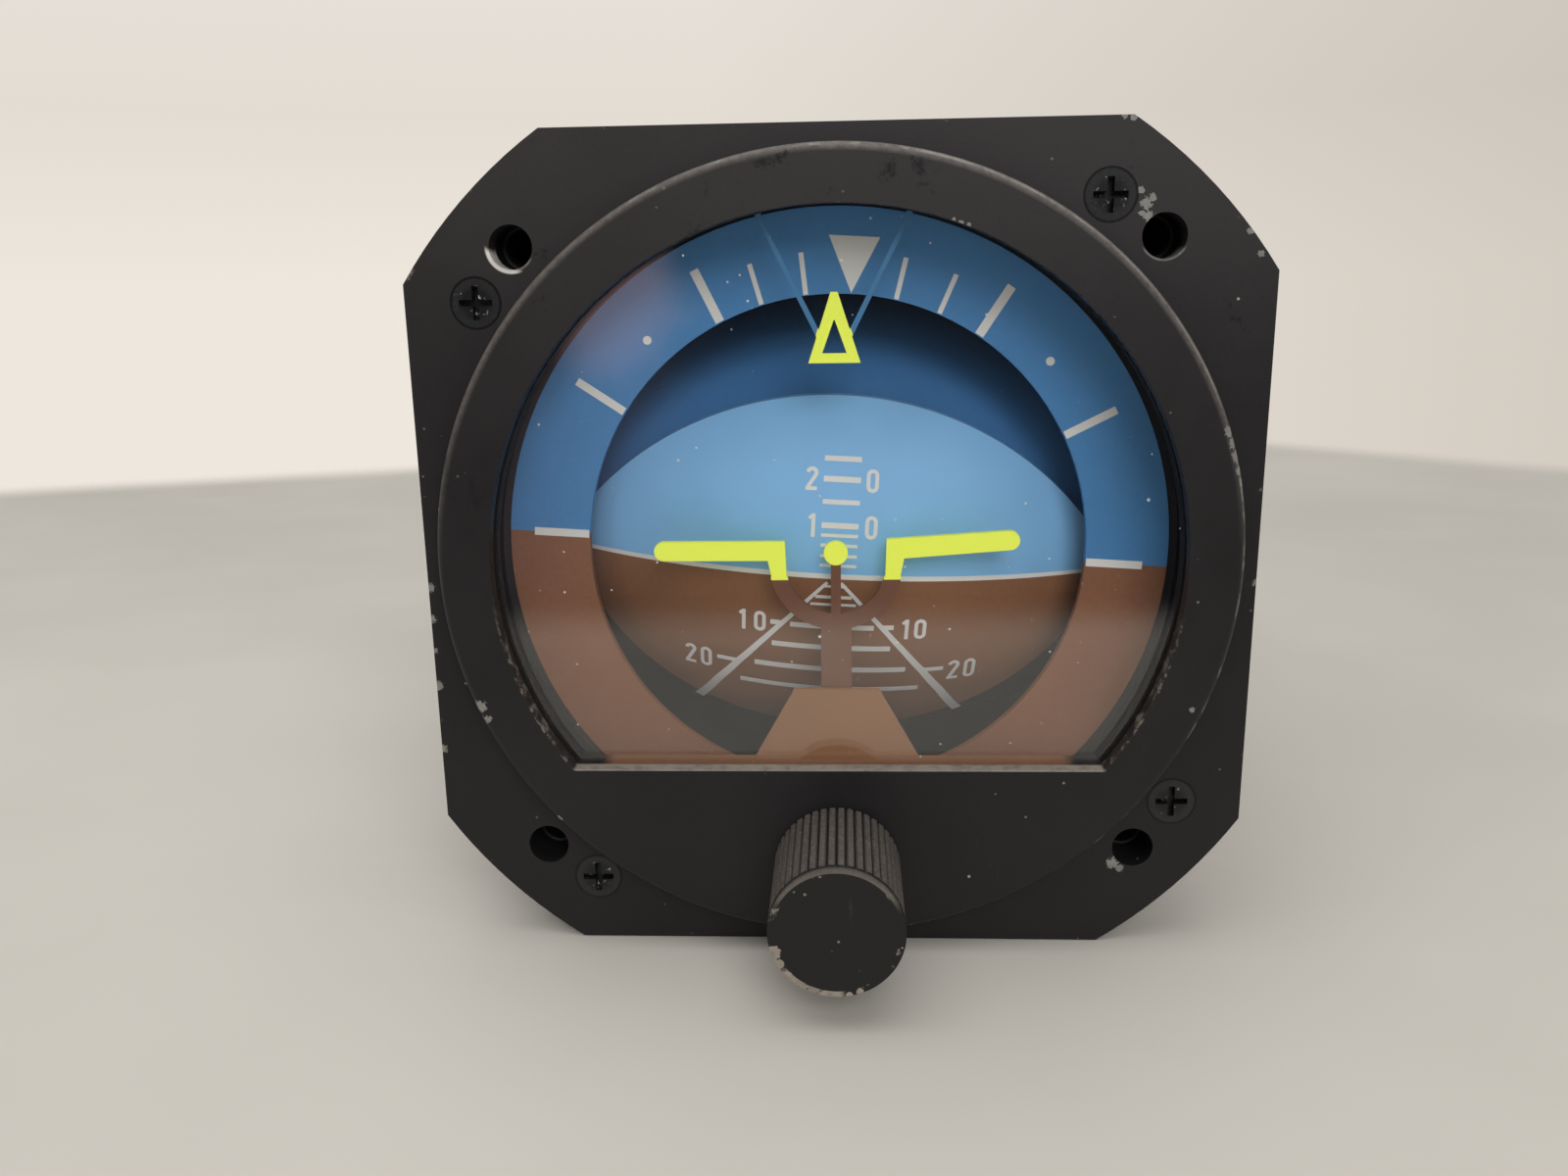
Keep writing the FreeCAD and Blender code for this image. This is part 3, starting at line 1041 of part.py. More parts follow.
def make_spindle():
    rod = cylinder("spindle_rod", "spindle_radius", "(%s) + knob_reach * 0.85" % SPINDLE_END,
                   ("0", "-knob_reach * 0.85", "knob_height"))
    arm = block("throw_arm", ("throw", "arm_plate", "2.4"), ("-throw", "arm_plane",
                                                             "knob_height - 1.2"))
    end = cylinder("throw_end", "1.2", "arm_plate", ("-throw", "arm_plane", "knob_height"))
    hub = cylinder("throw_hub", "spindle_radius + 0.8", "arm_plate",
                   ("0", "arm_plane", "knob_height"))
    pin = cylinder("throw_pin_rod", "throw_pin", "arm_plane - symbol_front - sheet_thick + arm_plate",
                   ("-throw", "symbol_front + sheet_thick", "knob_height"))
    groove = turned("spindle_groove", [
        (GROOVE, CLIP_FRONT), ("spindle_radius + 1", CLIP_FRONT),
        ("spindle_radius + 1", CLIP_FRONT + " + 0.4"), (GROOVE, CLIP_FRONT + " + 0.4")])
    bind(groove, "Placement.Base.z", "knob_height")
    node("knob_spindle", cut("spindle_body", fused("spindle_blank", rod, arm, end, hub, pin), groove))
    bush = turned("bush_blank", [
        ("spindle_radius + running_gap", "-boss_height"), ("bush_radius", "-boss_height"),
        ("bush_radius", "bezel_plate"), ("bush_radius + 1", "bezel_plate"),
        ("bush_radius + 1", "bezel_plate + 0.8"),
        ("spindle_radius + running_gap", "bezel_plate + 0.8")])
    bind(bush, "Placement.Base.z", "knob_height")
    node("spindle_bush", bush)
    clip = turned("spindle_clip_ring", [
        (GROOVE, CLIP_FRONT), ("spindle_radius + 0.8", CLIP_FRONT),
        ("spindle_radius + 0.8", CLIP_FRONT + " + 0.4"), (GROOVE, CLIP_FRONT + " + 0.4")])
    bind(clip, "Placement.Base.z", "knob_height")
    mouth = block("spindle_clip_gap", ("1.4", "1.4", "4"), ("-0.7", CLIP_FRONT + " - 0.5",
                                                            "knob_height - 4"))
    node("spindle_clip", cut("spindle_clip_body", clip, mouth))


GROOVE = "spindle_radius - 0.25"
CLIP_FRONT = "bezel_plate + 0.8 + running_gap"


def make_symbol():
    root_z = "wing_height"
    back = "symbol_front"
    wings = []
    for tag, s, rise in (("left", "-", "(wing_rise - wing_tilt)"),
                         ("right", "", "(wing_rise + wing_tilt)")):
        shift = "wing_tilt / 4" if tag == "right" else "-wing_tilt / 4"
        inner = "(%s + %s)" % (root_z, shift)
        outer = "(%s + %s)" % (inner, rise)
        wings.append(plate("wing_" + tag, back, "sheet_thick", [
            (s + "wing_tip", outer + " + wing_half"), (s + "wing_root", inner + " + wing_half"),
            (s + "(wing_root - 0.15)", "leg_drop"), (s + "(wing_root - 0.15 + leg_width)", "leg_drop"),
            (s + "(wing_root + leg_width + 0.3)", inner + " - wing_half"),
            (s + "wing_tip", outer + " - wing_half")]))
        wings.append(cylinder("wing_end_" + tag, "wing_half", "sheet_thick",
                              (s + "wing_tip", back, outer)))
    dot = cylinder("dot", "dot_radius", "sheet_thick", ("0", back, "dot_height"))
    needle = block("needle", ("2 * needle_half", "sheet_thick", "dot_height - yoke_height + yoke_radius"),
                   ("-needle_half", back, "yoke_height - yoke_radius"))
    outer = cylinder("yoke_outer", "yoke_radius + yoke_half", "sheet_thick", ("0", back, "yoke_height"))
    inner = cylinder("yoke_inner", "yoke_radius - yoke_half", "sheet_thick", ("0", back, "yoke_height"))
    ring = cut("yoke_ring", outer, inner)
    below = block("yoke_keep", ("2 * (yoke_radius + yoke_half)", "sheet_thick", "2 * yoke_radius"),
                  ("-(yoke_radius + yoke_half)", back, "leg_drop + 0.25 - 2 * yoke_radius"))
    yoke = common("yoke", ring, below)
    stem = block("stem", ("2 * stem_half", "sheet_thick", "yoke_height - yoke_radius - stem_end"),
                 ("-stem_half", back, "stem_end"))
    blank = fused("symbol_blank", dot, needle, yoke, stem, *wings)
    node("aircraft_symbol", cut("symbol_body", blank, *rivet_shanks("symbol")))
    rivets = []
    for i, shank in enumerate(rivet_shanks("rivet")):
        head = cylinder("rivet_head%d" % i, "1.8 * rivet_radius", "0.3",
                        ("0", "symbol_front + 2 * sheet_thick", RIVET_HEIGHTS[i]))
        rivets.append(fused("rivet%d" % i, shank, head))
    node("symbol_rivets", group("symbol_rivet_pair", *rivets))


RIVET_HEIGHTS = ("carrier_top - 1.2", "stem_end + 1.0")


def rivet_shanks(tag):
    """The two rivets that join the symbol's stem to its carrier."""
    return [cylinder("%s_shank%d" % (tag, i), "rivet_radius", "2 * sheet_thick",
                     ("0", "symbol_front", z)) for i, z in enumerate(RIVET_HEIGHTS)]


def make_symbol_carrier():
    front = "symbol_front + sheet_thick"
    side = "(post_offset + post_radius + 0.8)"
    outline = [
        ("-" + side, "carrier_top"), (side, "carrier_top"), (side, "post_height - 4.3"),
        ("spindle_radius + 1", "post_height - 4.3"), ("spindle_radius + 1", "stem_end - 0.8"),
        ("-2.4", "stem_end - 0.8"),
        ("-2.4", "knob_height - 1.9"), ("-throw - 1.9", "knob_height - 1.9"),
        ("-throw - 2.6", "knob_height - 1.1"), ("-throw - 2.6", "post_height - 4.3"),
        ("-" + side, "post_height - 3.9")]
    half = "(throw_pin + slot_gap)"
    slot = [("-throw - 1.5", "knob_height - %s" % half), ("-throw - 1.5", "knob_height + %s" % half),
            ("1.7 - throw", "knob_height + %s" % half), ("1.7 - throw", "knob_height - %s" % half)]
    blank = plate("carrier_plate_blank", front, "sheet_thick", outline)
    tools = [plate("carrier_slot", front + " - 1", "sheet_thick + 2", slot)]
    tools += rivet_shanks("carrier_rivet")
    posts = []
    wide = "(post_radius + running_gap)"
    for i, x in enumerate((POST_X, "-(%s)" % POST_X)):
        tools.append(block("post_slot%d" % i, ("2 * %s" % wide, "sheet_thick + 2",
                                               "2 * symbol_travel"),
                           ("%s - %s" % (x, wide), front + " - 1", POST_Z + " - symbol_travel")))
        for k, sign in enumerate(("+", "-")):
            tools.append(cylinder("post_slot_end%d%d" % (i, k), wide, "sheet_thick + 2",
                                  (x, front + " - 1", "%s %s symbol_travel" % (POST_Z, sign))))
        start = "bezel_plate - post_depth"
        head_front = "symbol_front + 2 * sheet_thick + running_gap"
        shank = cylinder("post_shank%d" % i, "post_radius", "%s - (%s)" % (head_front, start),
                         (x, start, POST_Z))
        collar = cylinder("post_collar%d" % i, "1.8 * post_radius",
                          "%s - running_gap - bezel_plate" % front, (x, "bezel_plate", POST_Z))
        head = cylinder("post_head%d" % i, "1.8 * post_radius", "0.7", (x, head_front, POST_Z))
        posts.append(fused("post%d" % i, shank, collar, head))
    node("symbol_carrier", cut("carrier_slide", blank, *tools))
    node("guide_posts", group("guide_post_pair", *posts))


def make_shroud():
    notch = "(post_offset + 1.8 * post_radius + 0.4)"
    blank = plate("shroud_blank", "shroud_front", "shroud_thick", [
        ("-shroud_top_half", "shroud_top"), ("shroud_top_half", "shroud_top"),
        ("shroud_low_half - 1", "shroud_low + 2.0"), ("shroud_low_half - 1", "shroud_low - 0.6"),
        (notch, "shroud_low - 0.6"), (notch, "shroud_low + 0.9"), ("-" + notch, "shroud_low + 0.9"),
        ("-" + notch, "shroud_low - 0.6"), ("1 - shroud_low_half", "shroud_low - 0.6"),
        ("1 - shroud_low_half", "shroud_low + 2.0")])
    holes = []
    screws = []
    for i, x in enumerate((8.5, -8.5)):
        holes.append(cylinder("shroud_hole%d" % i, "0.6", "shroud_thick + 1",
                              (str(x), "shroud_front - 0.5", "shroud_low + 0.5")))
        shank = cylinder("shroud_screw_shank%d" % i, "0.6", "shroud_thick",
                         (str(x), "shroud_front", "shroud_low + 0.5"))
        head = cylinder("shroud_screw_head%d" % i, "0.9", "0.5",
                        (str(x), "shroud_front + shroud_thick", "shroud_low + 0.5"))
        screws.append(fused("shroud_screw%d" % i, shank, head))
    node("pedestal_shroud", cut("shroud_body", blank, *holes))
    node("shroud_screws", group("shroud_screw_pair", *screws))


def make_pointer():
    """A hollow triangle on two thin stays that hang from the glass retainer."""
    slant = "pointer_half / (pointer_apex - pointer_base)"
    inner_half = "(pointer_half - pointer_stroke * 1.45)"
    triangle = plate("pointer_triangle", "bezel_plate", "shroud_thick",
                     [("-pointer_half", "pointer_base"), ("pointer_half", "pointer_base"),
                      ("0.35", "pointer_apex"), ("-0.35", "pointer_apex")],
                     [("-" + inner_half, "pointer_base + pointer_stroke"),
                      (inner_half, "pointer_base + pointer_stroke"),
                      ("0.05", "pointer_base + pointer_stroke + %s / (%s)" % (inner_half, slant)),
                      ("-0.05", "pointer_base + pointer_stroke + %s / (%s)" % (inner_half, slant))])
    foot_z = "window_radius * cos(12.5)"
    stays = []
    for tag, s in (("left", "-"), ("right", "")):
        stays.append(plate("stay_" + tag, "bezel_plate", "shroud_thick", [
            (s + "(1.45 - stay_half)", "pointer_base + 2.6"),
            (s + "(1.45 + stay_half + 0.1)", "pointer_base + 2.6"),
            (s + "(stay_foot + stay_half)", foot_z), (s + "(stay_foot + 0.4)", foot_z + " + 0.9"),
            (s + "(stay_foot - 0.6)", foot_z + " + 0.9"), (s + "(stay_foot - stay_half)", foot_z)]))
    outer = cylinder("foot_outer", RECESS, "shroud_thick", ("0", "bezel_plate", "0"))
    inner = cylinder("foot_inner", "window_radius + 0.15", "shroud_thick", ("0", "bezel_plate", "0"))
    wedge = block("foot_keep", ("2 * (stay_foot + 0.8)", "shroud_thick", "40"),
                  ("-(stay_foot + 0.8)", "bezel_plate", "10"))
    foot = common("foot", cut("foot_ring", outer, inner), wedge)
    node("top_pointer", fused("pointer_body", triangle, foot, *stays))


# ---------------------------------------------------------------- build and write
make_bezel()
make_bezel_screws()
make_glass()
make_case()
make_ports()
ring_rivets = make_roll_ring()
make_outer_gimbal(ring_rivets)
make_roll_shaft()
make_roll_bearings()
make_bearing_carrier()
make_pitch_display()
make_display_pivots()
make_dome()
housing_nozzles = make_rotor_housing()
make_housing_cap()
make_rotor()
make_exhaust_block()
make_vanes()
make_trunnions(housing_nozzles)
make_pitch_link()
make_knob()
make_spindle()
make_symbol()
make_symbol_carrier()
make_shroud()
make_pointer()
doc.recompute()

faults = [item.Name for item in doc.Objects if "Invalid" in item.State or "Error" in item.State]
for title, piece in NODES.items():
    if piece.Shape.isNull() or not piece.Shape.isValid() or not piece.Shape.Solids:
        faults.append(title)
if faults:
    raise RuntimeError("failed: " + ", ".join(faults))
os.makedirs("parts", exist_ok=True)
for title, piece in NODES.items():
    piece.Shape.exportStep("parts/%s.step" % title)
print(len(NODES), "nodes,", sum(len(p.Shape.Solids) for p in NODES.values()), "solids")
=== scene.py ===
import math

import bmesh
import bpy
from mathutils import Matrix, Vector


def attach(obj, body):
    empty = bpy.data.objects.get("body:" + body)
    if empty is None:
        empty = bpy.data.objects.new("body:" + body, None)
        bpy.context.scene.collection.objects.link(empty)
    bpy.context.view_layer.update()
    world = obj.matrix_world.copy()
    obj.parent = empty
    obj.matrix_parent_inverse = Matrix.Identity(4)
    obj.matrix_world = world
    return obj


# Looks of the attitude indicator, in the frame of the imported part: X to the viewer's right,
# Y into the instrument, Z up, y = 0 in the front face of the flange.  Lengths are written in
# millimetres, and MM turns them into the metres that Blender works in.

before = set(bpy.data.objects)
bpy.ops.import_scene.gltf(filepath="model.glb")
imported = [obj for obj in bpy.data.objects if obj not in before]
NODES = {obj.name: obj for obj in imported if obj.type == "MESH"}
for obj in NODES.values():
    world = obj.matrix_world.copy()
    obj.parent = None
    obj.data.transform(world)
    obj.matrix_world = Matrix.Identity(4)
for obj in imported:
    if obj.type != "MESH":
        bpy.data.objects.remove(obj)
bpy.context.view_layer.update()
MM = 0.001

# Places and sizes of the CAD that the masks and the printed marks follow.
FLANGE_HALF, FLANGE_BACK, CORNER_RADIUS = 42.35, 5.5, 50.8
BOSS_RADIUS, WINDOW_RADIUS, WINDOW_FOOT = 40.4, 34.9, -21.6
HOLE_PLACE = 31.4325
SCREW_HEAD, SCREW_CIRCLE, SCREW_START = 2.6, 43.9, 53.4
WALL_REAR, PORT_END = 147.7, 156.9
KNOB_AXIS, KNOB_RADIUS, KNOB_FACE = (0.0, 0.0, -32.2), 6.6, -17.3
RING_FACE = 7.3
DISPLAY_AXIS, DISPLAY_RADIUS, DISPLAY_CURVE = 36.0, 30.4, 60.0
GYRO_AXIS = (0.0, 72.0, 0.0)
ROLL, PITCH = 3.3, 5.3  # attitude at rest, in degrees
RING_TURN = 0.4         # the printed ring sits a little off the frame's roll


def srgb(tone, factor=1.0):
    """A tone of display values 0-255, times a factor, as the linear colour that shaders take."""
    lin = []
    for c in tone:
        c = c * factor / 255.0
        lin.append(c / 12.92 if c <= 0.04045 else ((c + 0.055) / 1.055) ** 2.4)
    return (*lin, 1.0)


# ------------------------------------------------------------------ node helpers
class Graph:
    """Shortcuts for the nodes of one shader tree."""

    def __init__(self, tree, coordinates):
        self.tree = tree
        self.where = self.node("ShaderNodeTexCoord").outputs[coordinates]

    def node(self, kind, **values):
        n = self.tree.nodes.new(kind)
        for key, value in values.items():
            setattr(n, key, value)
        return n

    def link(self, source, target):
        self.tree.links.new(source, target)

    def feed(self, target, value):
        """Links a socket, or sets its value."""
        if isinstance(value, bpy.types.NodeSocket):
            self.link(value, target)
        else:
            target.default_value = value

    def math(self, operation, first, *rest):
        """Works from left to right; an operation on one value has no others."""
        for value in rest or (0.0,):
            n = self.node("ShaderNodeMath", operation=operation)
            self.feed(n.inputs[0], first)
            self.feed(n.inputs[1], value)
            first = n.outputs[0]
        return first

    def plus(self, *values):
        return self.math("ADD", *values)

    def minus(self, a, b):
        return self.math("SUBTRACT", a, b)

    def times(self, *values):
        return self.math("MULTIPLY", *values)

    def most(self, *values):
        return self.math("MAXIMUM", *values)

    def least(self, *values):
        return self.math("MINIMUM", *values)

    def absolute(self, a):
        return self.math("ABSOLUTE", a)

    def mix(self, fac, a, b):
        n = self.node("ShaderNodeMix", data_type="RGBA")
        for slot, value in ((0, fac), (6, a), (7, b)):
            self.feed(n.inputs[slot], value)
        return n.outputs[2]

    def ramp(self, value, low, high, to_low=0.0, to_high=1.0, smooth=True):
        n = self.node("ShaderNodeMapRange",
                      interpolation_type="SMOOTHSTEP" if smooth else "LINEAR")
        for target, number in zip(n.inputs, (value, low, high, to_low, to_high)):
            self.feed(target, number)
        return n.outputs[0]

    def span(self, value, low, high, to_low=0.0, to_high=1.0, smooth=True):
        """A ramp between two lengths in millimetres."""
        return self.ramp(value, low * MM, high * MM, to_low, to_high, smooth)

    def band(self, value, middle, half, soft=0.15):
        """One where a length lies near the middle, falling to nought at its edges."""
        off = self.absolute(self.minus(value, middle * MM))
        return self.ramp(off, half * MM, half * MM * (1.0 - soft))

    def noise(self, scale, detail=4.0, rough=0.55, where=None):
        n = self.node("ShaderNodeTexNoise")
        self.link(where or self.where, n.inputs["Vector"])
        n.inputs["Scale"].default_value = scale
        n.inputs["Detail"].default_value = detail
        n.inputs["Roughness"].default_value = rough
        return n.outputs["Fac"]

    def patches(self, scale, low, high, detail=4.0, rough=0.55, to_low=0.0, to_high=1.0,
                where=None):
        """A mask of uneven patches: noise cut off between two levels."""
        return self.ramp(self.noise(scale, detail, rough, where), low, high, to_low, to_high)

    def cells(self, scale):
        n = self.node("ShaderNodeTexVoronoi")
        self.link(self.where, n.inputs["Vector"])
        n.inputs["Scale"].default_value = scale
        return n.outputs["Distance"]

    def axes(self, where=None):
        n = self.node("ShaderNodeSeparateXYZ")
        self.link(where or self.where, n.inputs[0])
        return n.outputs[0], n.outputs[1], n.outputs[2]

    def turned(self, axis, degrees, pivot=(0.0, 0.0, 0.0), where=None):
        """The coordinates turned about an axis through a point."""
        n = self.node("ShaderNodeVectorRotate", rotation_type=axis + "_AXIS")
        self.link(where or self.where, n.inputs["Vector"])
        n.inputs["Center"].default_value = [c * MM for c in pivot]
        n.inputs["Angle"].default_value = math.radians(degrees)
        return n.outputs[0]

    def stretched(self, *factors):
        """The coordinates with each axis times a factor, so that noise is drawn out."""
        n = self.node("ShaderNodeVectorMath", operation="MULTIPLY")
        self.link(self.where, n.inputs[0])
        n.inputs[1].default_value = factors
        return n.outputs[0]

    def radius_about(self, axis, centre=(0.0, 0.0, 0.0)):
        """Distance from an axis through a point."""
        parts = self.axes()
        kept = [self.minus(parts[i], centre[i] * MM) for i in range(3) if i != "XYZ".index(axis)]
        return self.math("SQRT", self.plus(*[self.times(k, k) for k in kept]))

    def blended(self, fac, first, second, output):
        """Sends a mix of two shaders to the output of a material or world."""
        n = self.node("ShaderNodeMixShader")
        for target, source in zip(n.inputs, (fac, first, second)):
            self.link(source, target)
        self.link(n.outputs[0], output.inputs["Surface"])


class Surface(Graph):
    """A Principled material, with its colour so far in base."""

    def __init__(self, name, rough=0.5, metal=0.0, spec=0.5):
        self.mat = bpy.data.materials.new(name)
        self.mat.use_nodes = True
        super().__init__(self.mat.node_tree, "Object")
        self.shader = self.tree.nodes["Principled BSDF"]
        self.output = self.tree.nodes["Material Output"]
        self.rough(rough)
        self.metal(metal)
        self.shader.inputs["Specular IOR Level"].default_value = spec

    def colour(self, value):
        self.base = value
        self.feed(self.shader.inputs["Base Color"], value)

    def cover(self, mask, tone, factor=1.0):
        """Lays a tone, times a factor, over the colour so far, where the mask is one."""
        self.colour(self.mix(mask, self.base, srgb(tone, factor)))

    def rough(self, value):
        self.feed(self.shader.inputs["Roughness"], value)

    def metal(self, value):
        self.feed(self.shader.inputs["Metallic"], value)

    def bump(self, height, strength, depth=0.02):
        n = self.node("ShaderNodeBump")
        n.inputs["Strength"].default_value = strength
        n.inputs["Distance"].default_value = depth * MM
        self.link(height, n.inputs["Height"])
        self.link(n.outputs[0], self.shader.inputs["Normal"])


def dress(node, surface):
    """Gives a CAD node a material in place of its own."""
    mesh = NODES[node].data
    for slot in range(len(mesh.materials)):
        mesh.materials[slot] = surface.mat
    if not mesh.materials:
        mesh.materials.append(surface.mat)


# ------------------------------------------------------------------ masks shared by materials
def specks(s, scale, size, share=0.5):
    """Small pale specks of dust: about one in each cell, part of them left out."""
    dots = s.ramp(s.cells(scale), size * 1.4, size * 0.7)
    return s.times(dots, s.patches(scale * 0.31, share, share + 0.04, 2.0))


def spots(s, places, ragged, grain):
    """Ragged patches round given points: (x, y, z, radius)."""
    reaches = []
    for x, y, z, radius in places:
        n = s.node("ShaderNodeVectorMath", operation="DISTANCE")
        s.link(s.where, n.inputs[0])
        n.inputs[1].default_value = (x * MM, y * MM, z * MM)
        reaches.append(s.math("DIVIDE", n.outputs["Value"], radius * MM))
    uneven = s.times(s.minus(s.noise(grain, 5.0, 0.7), 0.5), 2 * ragged)
    return s.ramp(s.plus(s.least(*reaches), uneven), 1.02, 0.92)


def inside_flange(s, x, z, around):
    """How far a point lies inside the outline of the flange."""
    from_side = s.minus(FLANGE_HALF * MM, s.most(s.absolute(x), s.absolute(z)))
    return s.least(from_side, s.minus(CORNER_RADIUS * MM, around))


# ------------------------------------------------------------------ kinds of finish
def black_paint(name, tone=(40, 40, 42), rough=0.5, grain=5200.0):
    """Satin black enamel with a fine orange peel, faint rubs and dust."""
    s = Surface(name, spec=0.32)
    cloud = s.noise(60.0, 5.0, 0.6)
    fine = s.noise(grain, 3.0, 0.6)
    s.colour(s.mix(s.ramp(cloud, 0.35, 0.7), srgb(tone), srgb(tone, 1.22)))
    s.cover(s.times(fine, 0.35), tone, 0.7)
    rub = s.patches(420.0, 0.66, 0.78, 6.0, 0.75, where=s.stretched(1.0, 1.0, 0.18))
    s.cover(s.times(rub, 0.22), (92, 92, 92))
    s.cover(s.times(specks(s, 430.0, 0.055, 0.56), 0.5), (168, 162, 150))
    s.rough(s.ramp(cloud, 0.3, 0.7, rough - 0.06, rough + 0.08))
    s.bump(s.plus(fine, s.noise(grain * 0.3, 2.0)), 0.35, 0.03)
    return s


def bare(s, mask, tone=(176, 174, 168)):
    """Shows worn metal through the paint where the mask is one."""
    shade = s.mix(s.noise(900.0), srgb(tone), srgb(tone, 0.62))
    s.colour(s.mix(mask, s.base, shade))
    s.metal(s.times(mask, 0.6))


def metal(name, tone, rough=0.32, axis="Y", lines=2600.0, marks=0.25):
    """Machined or drawn metal: fine lines along an axis, stains and dull patches."""
    s = Surface(name, metal=1.0)
    factors = [0.03 if letter == axis else 1.0 for letter in "XYZ"]
    brushed = s.noise(lines, 3.0, 0.6, s.stretched(*factors))
    s.colour(s.mix(brushed, srgb(tone), srgb(tone, 0.78)))
    s.cover(s.times(s.patches(130.0, 0.5, 0.75, 5.0, 0.65), marks), tone, 0.5)
    s.rough(s.ramp(brushed, 0.2, 0.8, rough - 0.08, rough + 0.12))
    s.bump(brushed, 0.18)
    return s


def turned_metal(name, tone, axis="Y", centre=(0.0, 0.0, 0.0), rough=0.3, pitch=0.22):
    """Metal from a lathe: fine rings about an axis."""
    s = Surface(name, metal=1.0)
    out_and_along = s.plus(s.radius_about(axis, centre), s.axes()["XYZ".index(axis)])
    wave = s.math("SINE", s.times(out_and_along, 2 * math.pi / (pitch * MM)))
    wave = s.times(wave, s.noise(700.0, 3.0))
    stain = s.noise(160.0, 5.0, 0.6)
    s.colour(s.mix(s.ramp(wave, -0.6, 0.6), srgb(tone, 0.84), srgb(tone)))
    s.cover(s.times(s.ramp(stain, 0.52, 0.74), 0.3), tone, 0.55)
    s.rough(s.ramp(stain, 0.3, 0.7, rough - 0.05, rough + 0.14))
    s.bump(wave, 0.12)
    return s


def cast_metal(name, tone, rough=0.45):
    """Sand-blasted casting: fine pits and a slow change of tone."""
    s = Surface(name, metal=0.85)
    pits = s.noise(3800.0, 4.0, 0.7)
    slow = s.noise(90.0)
    s.colour(s.mix(s.ramp(slow, 0.3, 0.7), srgb(tone, 0.86), srgb(tone)))
    s.cover(s.times(s.ramp(pits, 0.55, 0.7), 0.45), tone, 0.55)
    s.rough(s.ramp(slow, 0.3, 0.7, rough - 0.06, rough + 0.1))
    s.bump(pits, 0.4, 0.04)
    return s


def matt(name, tone, rough=0.7, scale=1600.0, bump=0.3, dusty=0.0, depth=0.25):
    """Dull moulded or painted stuff with a fine grain."""
    s = Surface(name, spec=0.3)
    grain = s.noise(scale, 4.0, 0.65)
    s.colour(s.mix(s.patches(70.0, 0.3, 0.7), srgb(tone), srgb(tone, 1.0 - 0.4 * depth)))
    s.cover(s.times(grain, depth), tone, 0.72)
    if dusty:
        s.cover(s.times(specks(s, 520.0, 0.05), dusty), (196, 192, 184))
    s.rough(s.ramp(grain, 0.3, 0.7, rough - 0.08, rough + 0.06))
    s.bump(grain, bump, 0.03)
    return s


def screw_black(name):
    """Blackened steel with brighter, rubbed patches."""
    s = Surface(name, spec=0.35)
    fine = s.noise(2600.0, 4.0, 0.7)
    s.colour(s.mix(fine, srgb((24, 24, 25)), srgb((44, 44, 45))))
    rubbed = s.patches(900.0, 0.63, 0.71, 5.0, 0.75)
    s.cover(s.times(rubbed, 0.55), (150, 147, 140))
    s.metal(s.times(rubbed, 0.7))
    s.rough(s.ramp(fine, 0.3, 0.7, 0.34, 0.5))
    s.bump(fine, 0.3, 0.03)
    return s


# ------------------------------------------------------------------ case, bezel and knob
BEZEL_CHIPS = [
    (-42.2, 0.2, -2.6, 0.5), (-42.2, 0.2, -6.0, 0.45), (-42.2, 0.3, -9.5, 0.4),
    (-42.2, 0.2, -13.3, 0.55), (-42.2, 0.4, -17.2, 0.35), (-42.3, 0.2, -20.4, 0.5),
    (29.0, 0.0, 35.6, 0.3), (29.5, 0.0, 34.4, 0.55), (30.1, 0.0, 34.9, 0.4),
    (29.8, 0.0, 33.2, 0.5), (29.2, 0.0, 33.5, 0.3), (28.0, 0.0, 42.2, 0.35),
    (27.2, 0.0, 42.3, 0.3), (39.4, 0.0, 31.7, 0.3), (40.5, 0.0, 29.6, 0.3),
    (29.4, 0.0, -33.3, 0.6), (30.2, 0.0, -33.9, 0.4), (37.9, -2.6, 13.1, 0.55),
    (38.4, -2.6, 12.0, 0.55), (38.8, -2.5, 10.7, 0.6), (39.2, -2.5, 9.3, 0.5),
    (39.4, -2.4, 8.2, 0.4), (-36.9, -2.6, -14.6, 0.6), (-36.3, -2.6, -16.1, 0.45),
    (36.0, -2.7, -15.0, 0.3), (-29.4, -2.6, -27.2, 0.3), (11.2, -2.8, 33.1, 0.22),
    (11.9, -2.8, 32.85, 0.25), (12.6, -2.8, 32.6, 0.2)]
KNOB_CHIPS = [
    (-6.0, -17.3, -34.2, 0.8), (-6.2, -16.8, -33.4, 0.6), (-5.6, -17.4, -35.4, 0.6),
    (-4.7, -17.5, -36.6, 0.4), (2.2, -17.5, -38.2, 0.35), (1.2, -17.5, -38.6, 0.35),
    (0.2, -17.5, -38.7, 0.3), (-2.6, -17.5, -38.2, 0.3), (6.2, -17.4, -33.6, 0.2)]


